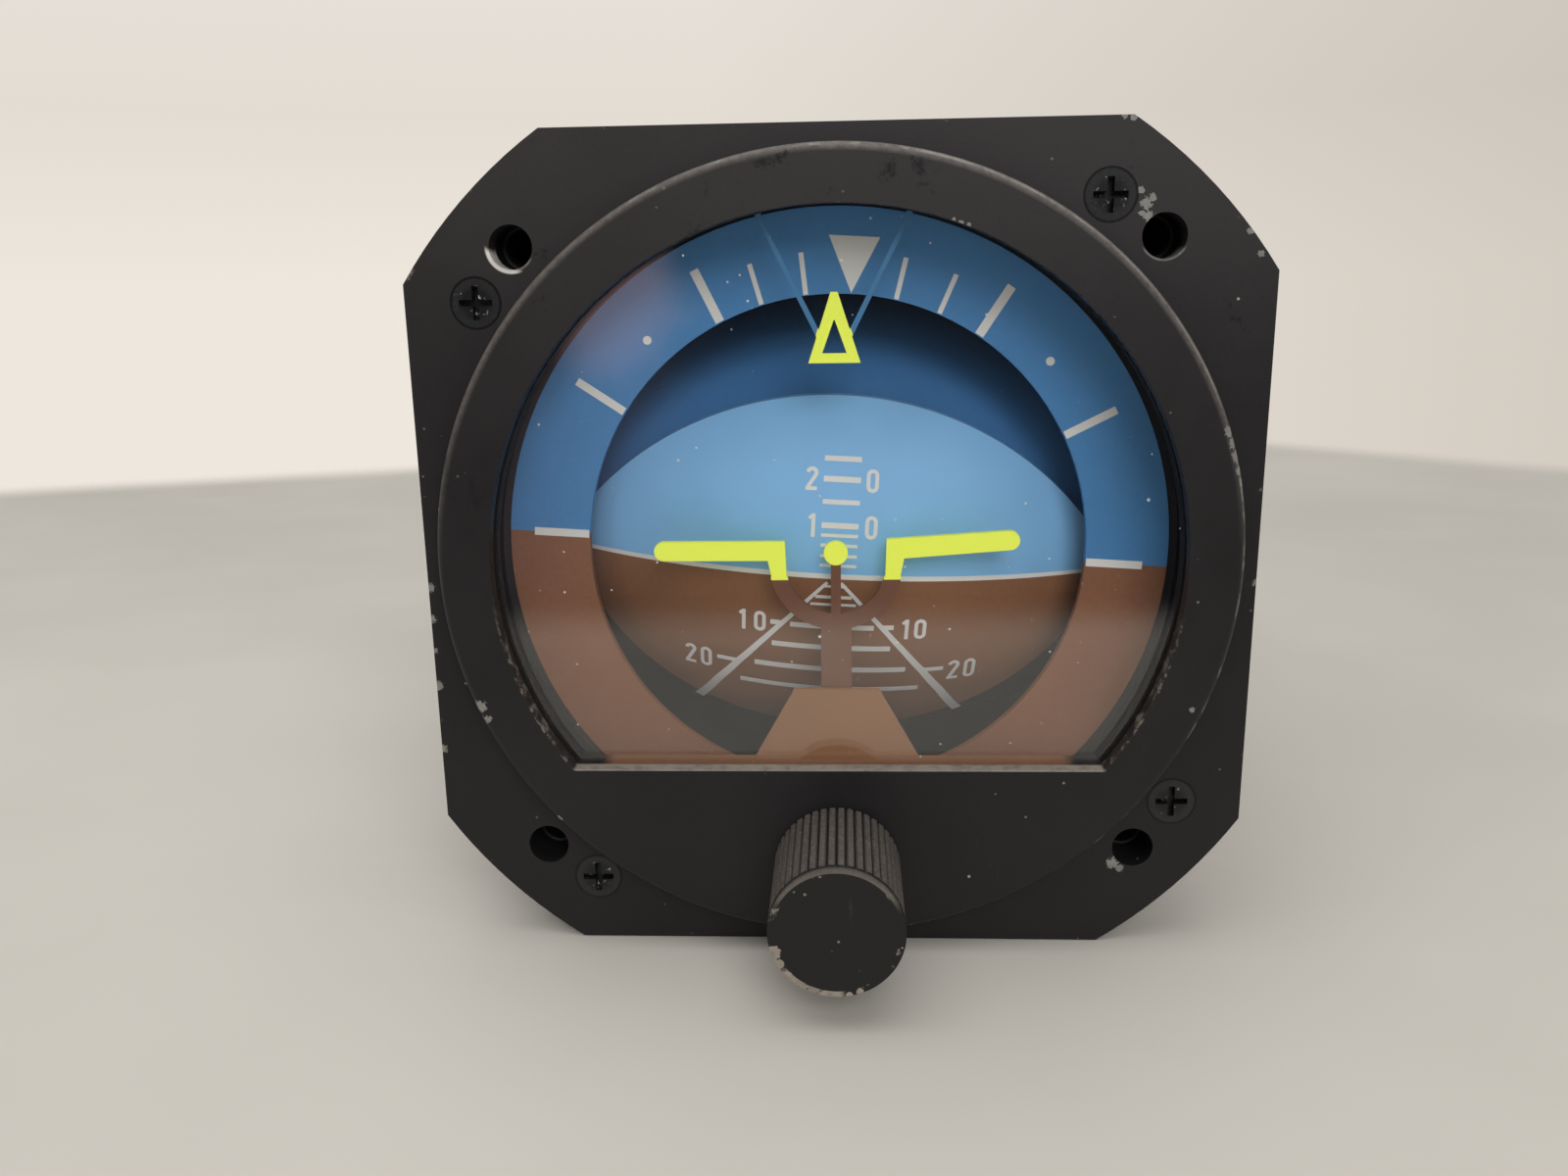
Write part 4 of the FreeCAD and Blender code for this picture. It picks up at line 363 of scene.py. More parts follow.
def bezel_paint():
    """Paint of the bezel: painted highlight that makes it lighter above and on the boss's
    shoulder, with rubbed rims, chips, smudges and dust.
    """
    s = black_paint("bezel_paint", (28, 26, 27), 0.5)
    x, y, z = s.axes()
    around = s.radius_about("Y")

    # where the paint is gone: outline of the flange, rim of the boss, chips, upper hole rims
    edge_line = s.times(s.span(inside_flange(s, x, z, around), 0.5, 0.1),
                        s.patches(260.0, 0.6, 0.66, 6.0, 0.7))
    patchy = s.plus(s.noise(170.0, 6.0, 0.72), s.span(z, -5.0, 25.0, 0.0, 0.1),
                    s.span(x, -20.0, 16.0, -0.06, 0.06))
    rim_line = s.times(s.band(around, BOSS_RADIUS - 0.1, 0.3), s.span(y, -2.2, -2.5),
                       s.ramp(patchy, 0.56, 0.7, 0.0, 0.6))
    worn = [edge_line, rim_line, spots(s, BEZEL_CHIPS, 1.5, 3000.0)]
    for hole_x in (-HOLE_PLACE, HOLE_PLACE):
        from_hole = s.radius_about("Y", (hole_x, 0.0, HOLE_PLACE))
        below = s.span(z, HOLE_PLACE - 0.9, HOLE_PLACE - 1.5)
        worn.append(s.times(s.band(from_hole, 2.2, 0.16), below, 0.55))

    # painted highlight: the paint grows lighter towards the top, where the light falls
    s.cover(s.span(z, 8.0, 42.0, 0.0, 0.4), (70, 65, 66))
    # the rounded shoulder of the boss carries a soft grey painted highlight, strongest above
    # where the light falls, broken into patches
    shoulder_highlight = s.times(s.band(around, BOSS_RADIUS - 0.2, 0.8, 0.85), s.span(y, -2.0, -2.4),
                       s.span(z, -4.0, 26.0, 0.0, 0.85),
                       s.patches(1500.0, 0.3, 0.6, 4.0, 0.7, 0.55, 1.0))
    s.cover(shoulder_highlight, (104, 97, 93))
    smudge = s.times(s.patches(150.0, 0.62, 0.68, 6.0, 0.75), s.span(z, -2.0, 14.0, 0.0, 0.75))
    s.cover(smudge, (13, 12, 12))
    s.cover(s.times(specks(s, 240.0, 0.034, 0.46), 0.7), (186, 180, 168))
    # the edge of the window is grey along its foot and low on its round
    low_edge = s.times(s.band(z, WINDOW_FOOT, 0.17), s.span(s.absolute(x), 27.8, 27.2),
                       s.patches(900.0, 0.2, 0.6, 5.0, 0.55, 0.45, 0.9))
    round_edge = s.times(s.band(around, WINDOW_RADIUS, 0.3),
                         s.patches(700.0, 0.5, 0.62, 5.0, 0.75, 0.0, 0.5),
                         s.span(z, WINDOW_FOOT - 0.1, WINDOW_FOOT + 0.2),
                         s.span(z, -3.0, -9.0))
    s.cover(s.most(low_edge, round_edge), (150, 143, 134))
    bare(s, s.most(*worn))

    # the upper left mounting hole has lost its paint along the lower left of its edge; that bare
    # wall is painted near white as a painted highlight, as if lit from above
    from_hole = s.radius_about("Y", (-HOLE_PLACE, 0.0, HOLE_PLACE))
    left, down = 0.56, 0.83
    lower_left = s.minus(s.plus(s.times(x, -left), s.times(z, -down)),
                         (left - down) * HOLE_PLACE * MM)
    ragged = s.minus(lower_left, s.times(s.noise(900.0, 3.0), 0.5 * MM))
    s.cover(s.times(s.span(ragged, 0.9, 1.5), s.span(from_hole, 2.62, 2.4)), (214, 210, 204))
    return s


def case_paint():
    """Paint of the case: scuffs along the barrel, worn rims, nearly bare port mouths."""
    s = black_paint("case_paint", (30, 29, 30), 0.54, 4200.0)
    x, y, z = s.axes()
    around = s.radius_about("Y")
    long_patches = s.patches(210.0, 0.6, 0.72, 6.0, 0.7, where=s.stretched(1.0, 0.16, 1.0))
    s.cover(s.times(long_patches, s.patches(34.0, 0.48, 0.66, 3.0, 0.55, 0.0, 0.5)),
            (96, 95, 92))
    back_rim = s.times(s.band(y, WALL_REAR, 0.5), s.band(around, 39.1, 0.45),
                       s.patches(120.0, 0.5, 0.58, 6.0, 0.7))
    flange_rim = s.times(s.span(inside_flange(s, x, z, around), 0.5, 0.1),
                         s.band(y, FLANGE_BACK - 0.1, 0.5), s.patches(200.0, 0.58, 0.66, 6.0))
    port_rim = s.times(s.span(y, PORT_END - 0.3, PORT_END),
                       s.patches(700.0, 0.3, 0.6, 5.0, 0.55, 0.5, 0.8))
    bare(s, s.most(back_rim, flange_rim, port_rim))
    return s


def knob_paint():
    """Paint of the knob: worn crown, a painted highlight along the top of its rim, chips on its
    left and low rim, gritty flutes.
    """
    s = black_paint("knob_paint", (23, 23, 23), 0.48, 4800.0)
    x, y, z = s.axes()
    around = s.radius_about("Y", KNOB_AXIS)
    at_face = s.span(y, KNOB_FACE + 0.5, KNOB_FACE)
    crown = s.times(s.band(around, 6.3, 0.35), at_face, s.patches(520.0, 0.57, 0.66, 6.0, 0.7))
    # painted highlight: a thin bright line along the top of the rim, where the light falls, laid
    # as bare metal
    upper_rim_highlight = s.times(s.band(around, 6.42, 0.2), s.span(z, -30.2, -28.0), at_face, 0.36)
    lower_rim = s.times(s.band(around, 6.4, 0.4), s.span(z, -35.6, -36.4), s.span(x, 1.0, 0.2),
                        s.patches(800.0, 0.36, 0.44, 5.0, 0.7))
    flutes = s.times(s.span(around, KNOB_RADIUS - 0.35, KNOB_RADIUS), s.span(y, -16.7, -16.2))
    grit = s.patches(2600.0, 0.35, 0.75, 4.0, 0.8, 0.35, 1.0)
    s.cover(s.times(flutes, s.times(grit, 0.52)), (150, 140, 132))
    # the bare metal laid below covers the wear and also the painted highlight of the upper rim
    worn = s.most(s.most(crown, upper_rim_highlight, lower_rim), spots(s, KNOB_CHIPS, 0.7, 1800.0))
    bare(s, worn, (190, 180, 168))
    return s


def window_lining(name, tone):
    """Dull black that turns brown on the sill at the foot of the window."""
    s = matt(name, tone, 0.85, 2400.0)
    x, _, z = s.axes()
    sill = s.times(s.span(z, WINDOW_FOOT + 0.4, WINDOW_FOOT + 0.1),
                   s.span(s.absolute(x), 25.2, 23.6))
    s.cover(sill, (132, 92, 64))
    return s


def bezel_screw_black():
    """Black screw heads, darker round the recess, with nicks round it and a dark rim."""
    s = screw_black("bezel_screw_black")
    turns = [math.radians(SCREW_START + 90.0 * k) for k in range(4)]
    from_screw = s.least(*[s.radius_about("Y", (SCREW_CIRCLE * math.cos(turn), 0.0,
                                                SCREW_CIRCLE * math.sin(turn)))
                           for turn in turns])
    nick = s.times(s.band(from_screw, 1.15, 0.6), s.patches(1300.0, 0.6, 0.68, 4.0, 0.7))
    # darker round the recess, which makes the cross look bigger
    s.cover(s.span(from_screw, 2.0, 1.1, 0.0, 0.8), (12, 12, 12))
    s.cover(nick, (176, 172, 164))
    s.cover(s.span(from_screw, SCREW_HEAD - 0.3, SCREW_HEAD - 0.2), (9, 9, 10))
    return s


dress("bezel", bezel_paint())
dress("case", case_paint())
dress("knob", knob_paint())
dress("bezel_screws", bezel_screw_black())
dress("glass_retainer", window_lining("glass_retainer_lining", (22, 21, 22)))
dress("glass_gasket", window_lining("glass_gasket_lining", (30, 28, 28)))
dress("front_seal", matt("seal_rubber", (30, 30, 31), 0.85, 2400.0))
dress("filter_cap", black_paint("cap_paint", (40, 40, 42), 0.5))
dress("inlet_filter", matt("filter_felt", (196, 186, 160), 0.95, 1400.0, 0.8, depth=0.6))
dress("inlet_washer", metal("washer_metal", (188, 188, 186), 0.35))
dress("port_plug", matt("plug_red", (158, 34, 30), 0.45, 900.0, 0.15, depth=0.15))
dress("bearing_carrier", turned_metal("carrier_metal", (176, 178, 180), rough=0.36))
dress("spindle_bush", turned_metal("bush_brass", (196, 164, 96), centre=KNOB_AXIS))
dress("knob_spindle", turned_metal("spindle_steel", (176, 176, 178), centre=KNOB_AXIS))
dark_screw = screw_black("screw_black")
for part in ("shroud_screws", "knob_set_screw", "shaft_screws", "shaft_clip", "spindle_clip"):
    dress(part, dark_screw)
for part in ("carrier_screws", "housing_cap_screws", "dome_screws"):
    dress(part, metal(part + "_zinc", (176, 174, 166), 0.34, "Y", 1800.0, 0.4))

# ------------------------------------------------------------------ gyro and gimbals
gimbal = cast_metal("gimbal_metal", (168, 170, 172), 0.42)
front_black = gimbal.span(gimbal.axes()[1], 12.3, 12.1)
gimbal.cover(front_black, (27, 21, 18))
gimbal.metal(gimbal.minus(0.85, gimbal.times(front_black, 0.85)))
dress("outer_gimbal", gimbal)
dress("rotor_housing", cast_metal("housing_metal", (176, 178, 180), 0.4))
dress("housing_cap", turned_metal("cap_metal", (180, 182, 184), "Z", GYRO_AXIS, 0.34))
dress("exhaust_block", cast_metal("block_metal", (170, 170, 168), 0.42))
dress("gyro_rotor", turned_metal("rotor_brass", (190, 158, 96), "Z", GYRO_AXIS, 0.26, 0.3))

STEEL, RACE_INNER, RACE_OUTER = (178, 178, 180), (190, 190, 192), (182, 182, 184)
for part, tone, axis, centre, dull in (
        ("rotor_shaft", (176, 176, 178), "Z", GYRO_AXIS, 0.2),
        ("spin_bearing_inner_rings", RACE_INNER, "Z", GYRO_AXIS, 0.2),
        ("spin_bearing_outer_rings", RACE_OUTER, "Z", GYRO_AXIS, 0.2),
        ("pitch_bearing_inner_rings", RACE_INNER, "X", GYRO_AXIS, 0.22),
        ("pitch_bearing_outer_rings", RACE_OUTER, "X", GYRO_AXIS, 0.22),
        ("pitch_trunnions", STEEL, "X", GYRO_AXIS, 0.22),
        ("roll_bearing_inner_rings", RACE_INNER, "Y", (0.0, 0.0, 0.0), 0.22),
        ("roll_bearing_outer_rings", RACE_OUTER, "Y", (0.0, 0.0, 0.0), 0.22),
        ("roll_shaft", STEEL, "Y", (0.0, 0.0, 0.0), 0.22)):
    dress(part, turned_metal(part + "_steel", tone, axis, centre, dull))
dress("bearing_spacer", turned_metal("spacer_brass", (192, 160, 96)))
for part, name, tone, dull, axis in (
        ("roll_balance_weights", "weight_brass", (188, 156, 92), 0.34, "Y"),
        ("display_weights", "trim_brass", (188, 156, 92), 0.36, "Y"),
        ("air_nozzles", "nozzle_brass", (196, 166, 100), 0.28, "Y"),
        ("display_pivots", "pivot_steel", (182, 182, 184), 0.26, "X"),
        ("pitch_crank", "crank_steel", (160, 160, 162), 0.36, "Z"),
        ("pitch_link", "link_steel", (170, 170, 172), 0.3, "Y"),
        ("vane_pair_x", "vane_x_sheet", (186, 188, 190), 0.34, "X"),
        ("vane_pair_y", "vane_y_sheet", (186, 188, 190), 0.34, "Y"),
        ("guide_posts", "post_steel", (150, 150, 152), 0.34, "Y"),
        ("symbol_rivets", "rivet_metal", (150, 140, 120), 0.4, "Y"),
        ("ring_rivets", "ring_rivet_metal", (150, 150, 150), 0.4, "Y")):
    dress(part, metal(name, tone, dull, axis))
dress("symbol_carrier", matt("carrier_plate_black", (30, 29, 29), 0.7))

# ------------------------------------------------------------------ dial colours
SKY, GROUND = (128, 188, 238), (134, 87, 50)
RING_BLUE, RING_BROWN = (58, 130, 190), (134, 82, 46)
DOME_BLUE, DOME_BROWN = (48, 116, 176), (56, 34, 26)
LUME, STEM_BROWN, STAY_BLUE = (226, 240, 84), (112, 74, 54), (64, 124, 172)
PAINTED_GLOW = 0.22  # painted glow: the fluorescent paint is given a little light of its own


def dial_paint(name, over, under, where, rough=0.55):
    """Two flat paints that meet on a level line, with a faint grain and dust."""
    s = Surface(name, spec=0.3)
    level = s.axes(where(s))[2]
    fine = s.noise(2800.0, 3.0, 0.6)
    s.colour(s.mix(s.span(level, -0.03, 0.03, smooth=False), srgb(under), srgb(over)))
    s.cover(s.times(s.patches(55.0, 0.35, 0.7), 0.10), (20, 20, 24))
    s.cover(s.times(fine, 0.06), (235, 235, 235))
    s.cover(s.times(specks(s, 620.0, 0.05, 0.55), 0.55), (205, 205, 200))
    s.rough(s.ramp(fine, 0.3, 0.7, rough - 0.05, rough + 0.08))
    s.bump(fine, 0.12)
    return s


def in_ring(s):
    """Coordinates of the roll ring set upright."""
    return s.turned("Y", -ROLL - RING_TURN)


def in_roll(s):
    """Coordinates of the roll frame set upright."""
    return s.turned("Y", -ROLL)


def in_display(s):
    """Coordinates of the moving display set level."""
    return s.turned("X", -PITCH, (0.0, DISPLAY_AXIS, 0.0), in_roll(s))


def two_tone(name, bright, dull, mask):
    """Fluorescent yellow-green with a painted glow where the mask is one, a dull paint
    elsewhere.
    """
    s = Surface(name, spec=0.35)
    lit = mask(s)
    fine = s.noise(3200.0, 3.0)
    s.colour(s.mix(lit, srgb(dull), srgb(bright)))
    s.cover(s.times(fine, 0.08), (60, 52, 40))
    s.cover(s.times(specks(s, 700.0, 0.05), 0.4), (214, 210, 200))
    # painted glow: the yellow-green gives off light of its own, as emission
    s.link(s.mix(lit, (0.0, 0.0, 0.0, 1.0), srgb(bright)), s.shader.inputs["Emission Color"])
    s.shader.inputs["Emission Strength"].default_value = PAINTED_GLOW
    s.rough(s.ramp(fine, 0.3, 0.7, 0.46, 0.6))
    s.bump(fine, 0.12)
    return s


def symbol_mask(s):
    """Wings, their legs and the centre dot are bright; yoke, needle and stem are not."""
    x, _, z = s.axes()
    wings = s.times(s.span(s.absolute(x), 3.9, 3.95), s.span(z, -2.62, -2.58))
    return s.most(wings, s.span(s.radius_about("Y", (0.0, 0.0, 0.22)), 1.28, 1.25))


def pointer_mask(s):
    """Inside the triangle's own outline: between its leaning sides and under its apex."""
    x, _, z = s.axes()
    foot_half, foot, lean, apex = 2.75, 19.8, 0.326, 26.76
    half = s.minus(foot_half * MM, s.times(s.minus(z, foot * MM), lean))
    inside = s.span(s.minus(half, s.absolute(x)), 0.0, 0.03)
    return s.times(inside, s.span(z, apex + 0.02, apex - 0.02))


dress("roll_ring", dial_paint("ring_paint", RING_BLUE, RING_BROWN, in_ring))
dress("pitch_display", dial_paint("display_paint", SKY, GROUND, in_display))
dress("horizon_dome", dial_paint("dome_paint", DOME_BLUE, DOME_BROWN, in_roll, 0.7))
dress("pedestal_shroud", matt("shroud_paint", (148, 106, 72), 0.6, 2200.0, dusty=0.4,
                              depth=0.12))
dress("aircraft_symbol", two_tone("symbol_paint", LUME, STEM_BROWN, symbol_mask))
dress("top_pointer", two_tone("pointer_paint", LUME, STAY_BLUE, pointer_mask))


# ------------------------------------------------------------------ pieces added to the CAD
def finished(mesh, name, surface, body):
    """Turns a bmesh into a piece that moves with a body."""
    bmesh.ops.recalc_face_normals(mesh, faces=mesh.faces)
    data = bpy.data.meshes.new(name)
    mesh.to_mesh(data)
    mesh.free()
    piece = bpy.data.objects.new(name, data)
    bpy.context.scene.collection.objects.link(piece)
    data.materials.append(surface.mat)
    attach(piece, body)
    return piece


# Domed anchor nuts behind the four mounting holes, as (radius, y) profiles.
NUT_OUTSIDE = [(1.75, 5.52), (3.1, 5.52), (3.1, 7.1), (2.75, 7.4), (2.6, 10.2), (2.2, 11.6),
               (1.3, 12.5), (0.0, 12.8)]
NUT_BORE = [(1.75, 5.52), (1.75, 11.0), (0.0, 11.6)]
NUT_SIDES = 28
TURNS = [2 * math.pi * k / NUT_SIDES for k in range(NUT_SIDES)]


def nut_black():
    """Black enamel, darker and duller in the bore."""
    s = black_paint("nut_black", (34, 33, 33), 0.5)
    x, _, z = s.axes()
    off_x = s.minus(s.absolute(x), HOLE_PLACE * MM)
    off_z = s.minus(s.absolute(z), HOLE_PLACE * MM)
    from_bore = s.math("SQRT", s.plus(s.times(off_x, off_x), s.times(off_z, off_z)))
    # the bore is made near black and duller
    in_bore = s.span(from_bore, 1.9, 1.8)
    s.cover(in_bore, (5, 5, 5))
    s.rough(s.ramp(in_bore, 0.0, 1.0, 0.5, 0.95))
    return s


def add_turning(mesh, profile, x, z):
    """Turns a profile about a line along Y through (x, z); its last point is the tip."""
    rows = [[mesh.verts.new(Vector((x + radius * math.cos(t), y, z + radius * math.sin(t))) * MM)
             for t in TURNS] for radius, y in profile[:-1]]
    tip = mesh.verts.new(Vector((x, profile[-1][1], z)) * MM)
    for a, b in zip(rows, rows[1:]):
        for k in range(NUT_SIDES):
            j = (k + 1) % NUT_SIDES
            mesh.faces.new((a[k], a[j], b[j], b[k]))
    for k in range(NUT_SIDES):
        mesh.faces.new((rows[-1][k], rows[-1][(k + 1) % NUT_SIDES], tip))


nuts = bmesh.new()
for right, up in ((1, 1), (-1, 1), (-1, -1), (1, -1)):
    for profile in (NUT_OUTSIDE, NUT_BORE):
        add_turning(nuts, profile, right * HOLE_PLACE, up * HOLE_PLACE)
bmesh.ops.remove_doubles(nuts, verts=nuts.verts, dist=1e-7)
anchor = finished(nuts, "anchor_nuts", nut_black(), "case")
for face in anchor.data.polygons:
    face.use_smooth = True

# ------------------------------------------------------------------ printed marks, as thin ink
INK_PROUD, INK_DEPTH = 0.03, 0.05  # how far ink stands over the paint, and how thick it is
STEP = 0.6                         # longest piece of a stroke
DIGIT_STROKE, DIGIT_WIDTH = 0.4, 1.3


def display_radius(u):
    """Distance of the crowned face from the display's axis, at a place across it."""
    return DISPLAY_RADIUS - DISPLAY_CURVE + math.sqrt(DISPLAY_CURVE ** 2 - u * u)


def on_display(u, elevation, lift):
    """A point of the display's outer face, from its side way and its angle over the horizon."""
    radius = display_radius(u) + lift
    angle = math.radians(elevation)
    p = Vector((u, -radius * math.cos(angle), radius * math.sin(angle)))
    p = Matrix.Rotation(math.radians(PITCH), 3, "X") @ p
    p.y += DISPLAY_AXIS
    return Matrix.Rotation(math.radians(ROLL), 3, "Y") @ p * MM


def near(centre_u, elevation):
    """Places a small drawing round a point of the display."""
    radius = display_radius(centre_u)

    def place(u, v, lift):
        return on_display(centre_u + u, elevation + math.degrees(v / radius), lift)
    return place


def on_ring(u, v, lift):
    """A point of the ring's front face."""
    turn = Matrix.Rotation(math.radians(ROLL + RING_TURN), 3, "Y")
    return turn @ Vector((u, RING_FACE - lift, v)) * MM


def divided(path, widths, closed):
    """The points of a path as (u, v, width), with none further apart than a step."""
    fine = []
    count = len(path)
    for i in range(count if closed else count - 1):
        (ax, ay), (bx, by) = path[i], path[(i + 1) % count]
        wa, wb = widths[i], widths[(i + 1) % count]
        parts = max(1, math.ceil(math.hypot(bx - ax, by - ay) / STEP))
        for k in range(parts):
            t = k / parts
            fine.append((ax + (bx - ax) * t, ay + (by - ay) * t, wa + (wb - wa) * t))
    if not closed:
        fine.append((*path[-1], widths[-1]))
    return fine


def stroke(mesh, path, widths, place, closed=False):
    """A thin solid ribbon of ink along a path of (u, v) points."""
    if not isinstance(widths, (list, tuple)):
        widths = [widths] * len(path)
    fine = divided(path, widths, closed)
    total = len(fine)
    rows = []
    for i, (u, v, w) in enumerate(fine):
        before = fine[i - 1] if closed or i else fine[i]
        after = fine[(i + 1) % total] if closed or i < total - 1 else fine[i]
        into = Vector((u - before[0], v - before[1]))
        out = Vector((after[0] - u, after[1] - v))
        into = into.normalized() if into.length else out.normalized()
        out = out.normalized() if out.length else into
        along = (into + out).normalized()
        side = Vector((-along.y, along.x))
        reach = 0.5 * w / max(0.5, side.dot(Vector((-into.y, into.x))))
        left = (u + side.x * reach, v + side.y * reach)
        right = (u - side.x * reach, v - side.y * reach)
        rows.append([mesh.verts.new(place(*edge, lift)) for edge, lift in (
            (left, INK_PROUD), (right, INK_PROUD),
            (right, INK_PROUD - INK_DEPTH), (left, INK_PROUD - INK_DEPTH))])
    for i in range(total if closed else total - 1):
        a, b = rows[i], rows[(i + 1) % total]
        for k in range(4):
            mesh.faces.new((a[k], b[k], b[(k + 1) % 4], a[(k + 1) % 4]))
    if not closed:
        mesh.faces.new(rows[0])
        mesh.faces.new(list(reversed(rows[-1])))


def patch(mesh, outline, place):
    """A filled flat shape of ink."""
    top = [mesh.verts.new(place(u, v, INK_PROUD)) for u, v in outline]
    low = [mesh.verts.new(place(u, v, INK_PROUD - INK_DEPTH)) for u, v in outline]
    mesh.faces.new(top)
    mesh.faces.new(list(reversed(low)))
    for i in range(len(outline)):
        k = (i + 1) % len(outline)
        mesh.faces.new((top[i], low[i], low[k], top[k]))


def arc(cx, cy, radius, start, end, parts=8):
    """Points of an arc, from one angle to another in degrees."""
    turns = [math.radians(start + (end - start) * i / parts) for i in range(parts + 1)]
    return [(cx + radius * math.cos(t), cy + radius * math.sin(t)) for t in turns]


def digit(mesh, which, place, height=2.5):
    """A plain narrow 0, 1 or 2, centred on its place."""
    a, b = (DIGIT_WIDTH - DIGIT_STROKE) / 2, (height - DIGIT_STROKE) / 2
    if which == "0":
        path = arc(0, b - a, a, 0, 180) + arc(0, a - b, a, 180, 360)
        stroke(mesh, path, DIGIT_STROKE, place, closed=True)
    elif which == "1":
        stroke(mesh, [(0.12, -height / 2), (0.12, height / 2)], DIGIT_STROKE, place)
        stroke(mesh, [(0.0, b), (-0.34, b - 0.34)], DIGIT_STROKE * 0.9, place)
    else:
        path = arc(0, b - a, a, 175, -35, 12) + [(-a, -b + 0.05)]
        stroke(mesh, path, DIGIT_STROKE, place)
        stroke(mesh, [(-a - DIGIT_STROKE / 2, -b), (a + 0.12, -b)], DIGIT_STROKE, place)


def level_line(mesh, elevation, half, width, middle=0.0):
    """A stroke along the horizon, at an angle over it."""
    stroke(mesh, [(middle - half, 0.0), (middle + half, 0.0)], width, near(0.0, elevation))


ink = matt("dial_ink", (232, 232, 230), 0.6, 3600.0, 0.15, depth=0.12)

# Roll scale: strokes at 10, 20, 30, 60 and 90 degrees each side, dots at 45, a triangle on top.
SCALE_FOOT, DOT_PLACE, DOT_RADIUS = 26.6, 29.4, 0.45
marks = bmesh.new()
for angle, outer, width in ((10, 30.8, 0.5), (20, 30.8, 0.5), (30, 32.4, 0.95),
                            (60, 32.4, 0.85), (90, 32.5, 0.85)):
    for side in (-1, 1):
        turn = math.radians(side * angle)
        ends = [(r * math.sin(turn), r * math.cos(turn)) for r in (SCALE_FOOT, outer)]
        stroke(marks, ends, width, on_ring)
for side in (-45, 45):
    turn = math.radians(side)
    patch(marks, arc(DOT_PLACE * math.sin(turn), DOT_PLACE * math.cos(turn), DOT_RADIUS,
                     0, 337.5, 15), on_ring)
patch(marks, [(-2.6, 32.2), (0.0, SCALE_FOOT), (2.6, 32.2)], on_ring)
finished(marks, "roll_scale_ink", ink, "roll_frame")

# Pitch scale: (elevation, width) of the lines over the horizon, which are of one length, and
# (elevation, half length, width) of those under it.
SKY_LINES = [(23.75, 0.56), (19.63, 0.62), (15.1, 0.5), (10.42, 0.6), (8.42, 0.36), (6.4, 0.36),
             (4.25, 0.34), (2.28, 0.32)]
GROUND_LINES = [(-2.1, 1.3, 0.28), (-4.45, 1.95, 0.34), (-6.1, 2.45, 0.3), (-8.85, 3.7, 0.36),
                (-11.25, 4.55, 0.6), (-16.45, 6.5, 0.64), (-22.4, 8.4, 0.7),
                (-28.5, 10.05, 0.66)]
# The two lines that spread towards the viewer: (side way, elevation), and the widths there.
SPREAD = [(0.72, -1.3), (2.42, -4.65), (3.95, -8.0), (6.0, -12.4), (8.07, -17.3),
          (10.25, -22.95), (12.55, -29.95), (15.08, -39.65)]
SPREAD_WIDTHS = [0.34, 0.4, 0.48, 0.58, 0.68, 0.8, 0.92, 1.05]
lines = bmesh.new()
for elevation, width in SKY_LINES:
    level_line(lines, elevation, 1.95, width, 0.3)
for elevation, half, width in GROUND_LINES:
    level_line(lines, elevation, half, width)
for side in (-1, 1):
    path = [(side * u, math.radians(e) * DISPLAY_RADIUS) for u, e in SPREAD]
    stroke(lines, path, SPREAD_WIDTHS, near(0.0, 0.0))
    for elevation, inner, outer in ((-11.1, 5.5, 6.7), (-22.8, 10.3, 12.65)):
        stroke(lines, [(side * inner, 0.0), (side * outer, 0.0)], 0.56, near(0.0, elevation))
level_line(lines, 0.0, 30.2, 0.54)
finished(lines, "pitch_scale_ink", ink, "display_group")

# The numbers 10 and 20 of the pitch scale: (digit, side way, elevation, height).
DIGITS = [("2", -2.9, 19.6, 2.5), ("0", 3.5, 19.6, 2.5), ("1", -2.65, 10.3, 2.5),
          ("0", 3.6, 10.3, 2.5), ("1", -9.75, -11.3, 2.5), ("0", -7.85, -11.3, 2.5),
          ("1", 8.0, -11.6, 2.5), ("0", 9.6, -11.6, 2.5), ("2", -15.72, -23.7, 2.9),
          ("0", -13.93, -23.7, 2.9), ("2", 13.83, -23.7, 2.9), ("0", 15.63, -23.7, 2.9)]
digits = bmesh.new()
for which, u, elevation, height in DIGITS:
    digit(digits, which, near(u, elevation), height)
finished(digits, "pitch_numerals_ink", ink, "display_group")


# ------------------------------------------------------------------ window glass
def window_glass():
    """Clear glass with dust on it; to shadow and diffuse rays it is not there."""
    s = Surface("window_glass", rough=0.0)
    s.shader.inputs["IOR"].default_value = 1.62
    motes = s.most(specks(s, 330.0, 0.036, 0.42), specks(s, 130.0, 0.02, 0.48))
    motes = s.times(motes, s.patches(1300.0, 0.3, 0.6, 2.0, 0.55, 0.25, 0.8))
    s.feed(s.shader.inputs["Transmission Weight"], s.minus(1.0, motes))
    s.colour((0.985, 0.98, 0.98, 1.0))
    s.cover(motes, (214, 208, 198))
    clear = s.node("ShaderNodeBsdfTransparent")
    rays = s.node("ShaderNodeLightPath")
    either = s.most(rays.outputs["Is Shadow Ray"], rays.outputs["Is Diffuse Ray"])
    s.blended(either, s.shader.outputs[0], clear.outputs[0], s.output)
    return s


dress("cover_glass", window_glass())

# ------------------------------------------------------------------ table, room and light
TABLE_SLOPE, TABLE_DROP, TABLE_REACH, TABLE_END = 0.0221, -FLANGE_HALF, 900.0, 420.0
CARD_PLACE, CARD_REACH, CARD_TOP = -130.5, 500.0, 620.0
# The two lines, as (x, y) points, past which the table fades out.
LEFT_EDGE, RIGHT_EDGE = ((-282.1, 278.6), (-158.4, 317.1)), ((166.4, 354.6), (238.3, 295.3))


def table_height(y):
    """Height of the slightly sloping table, which the foot of the flange stands on."""
    return TABLE_DROP + TABLE_SLOPE * (y - FLANGE_BACK)


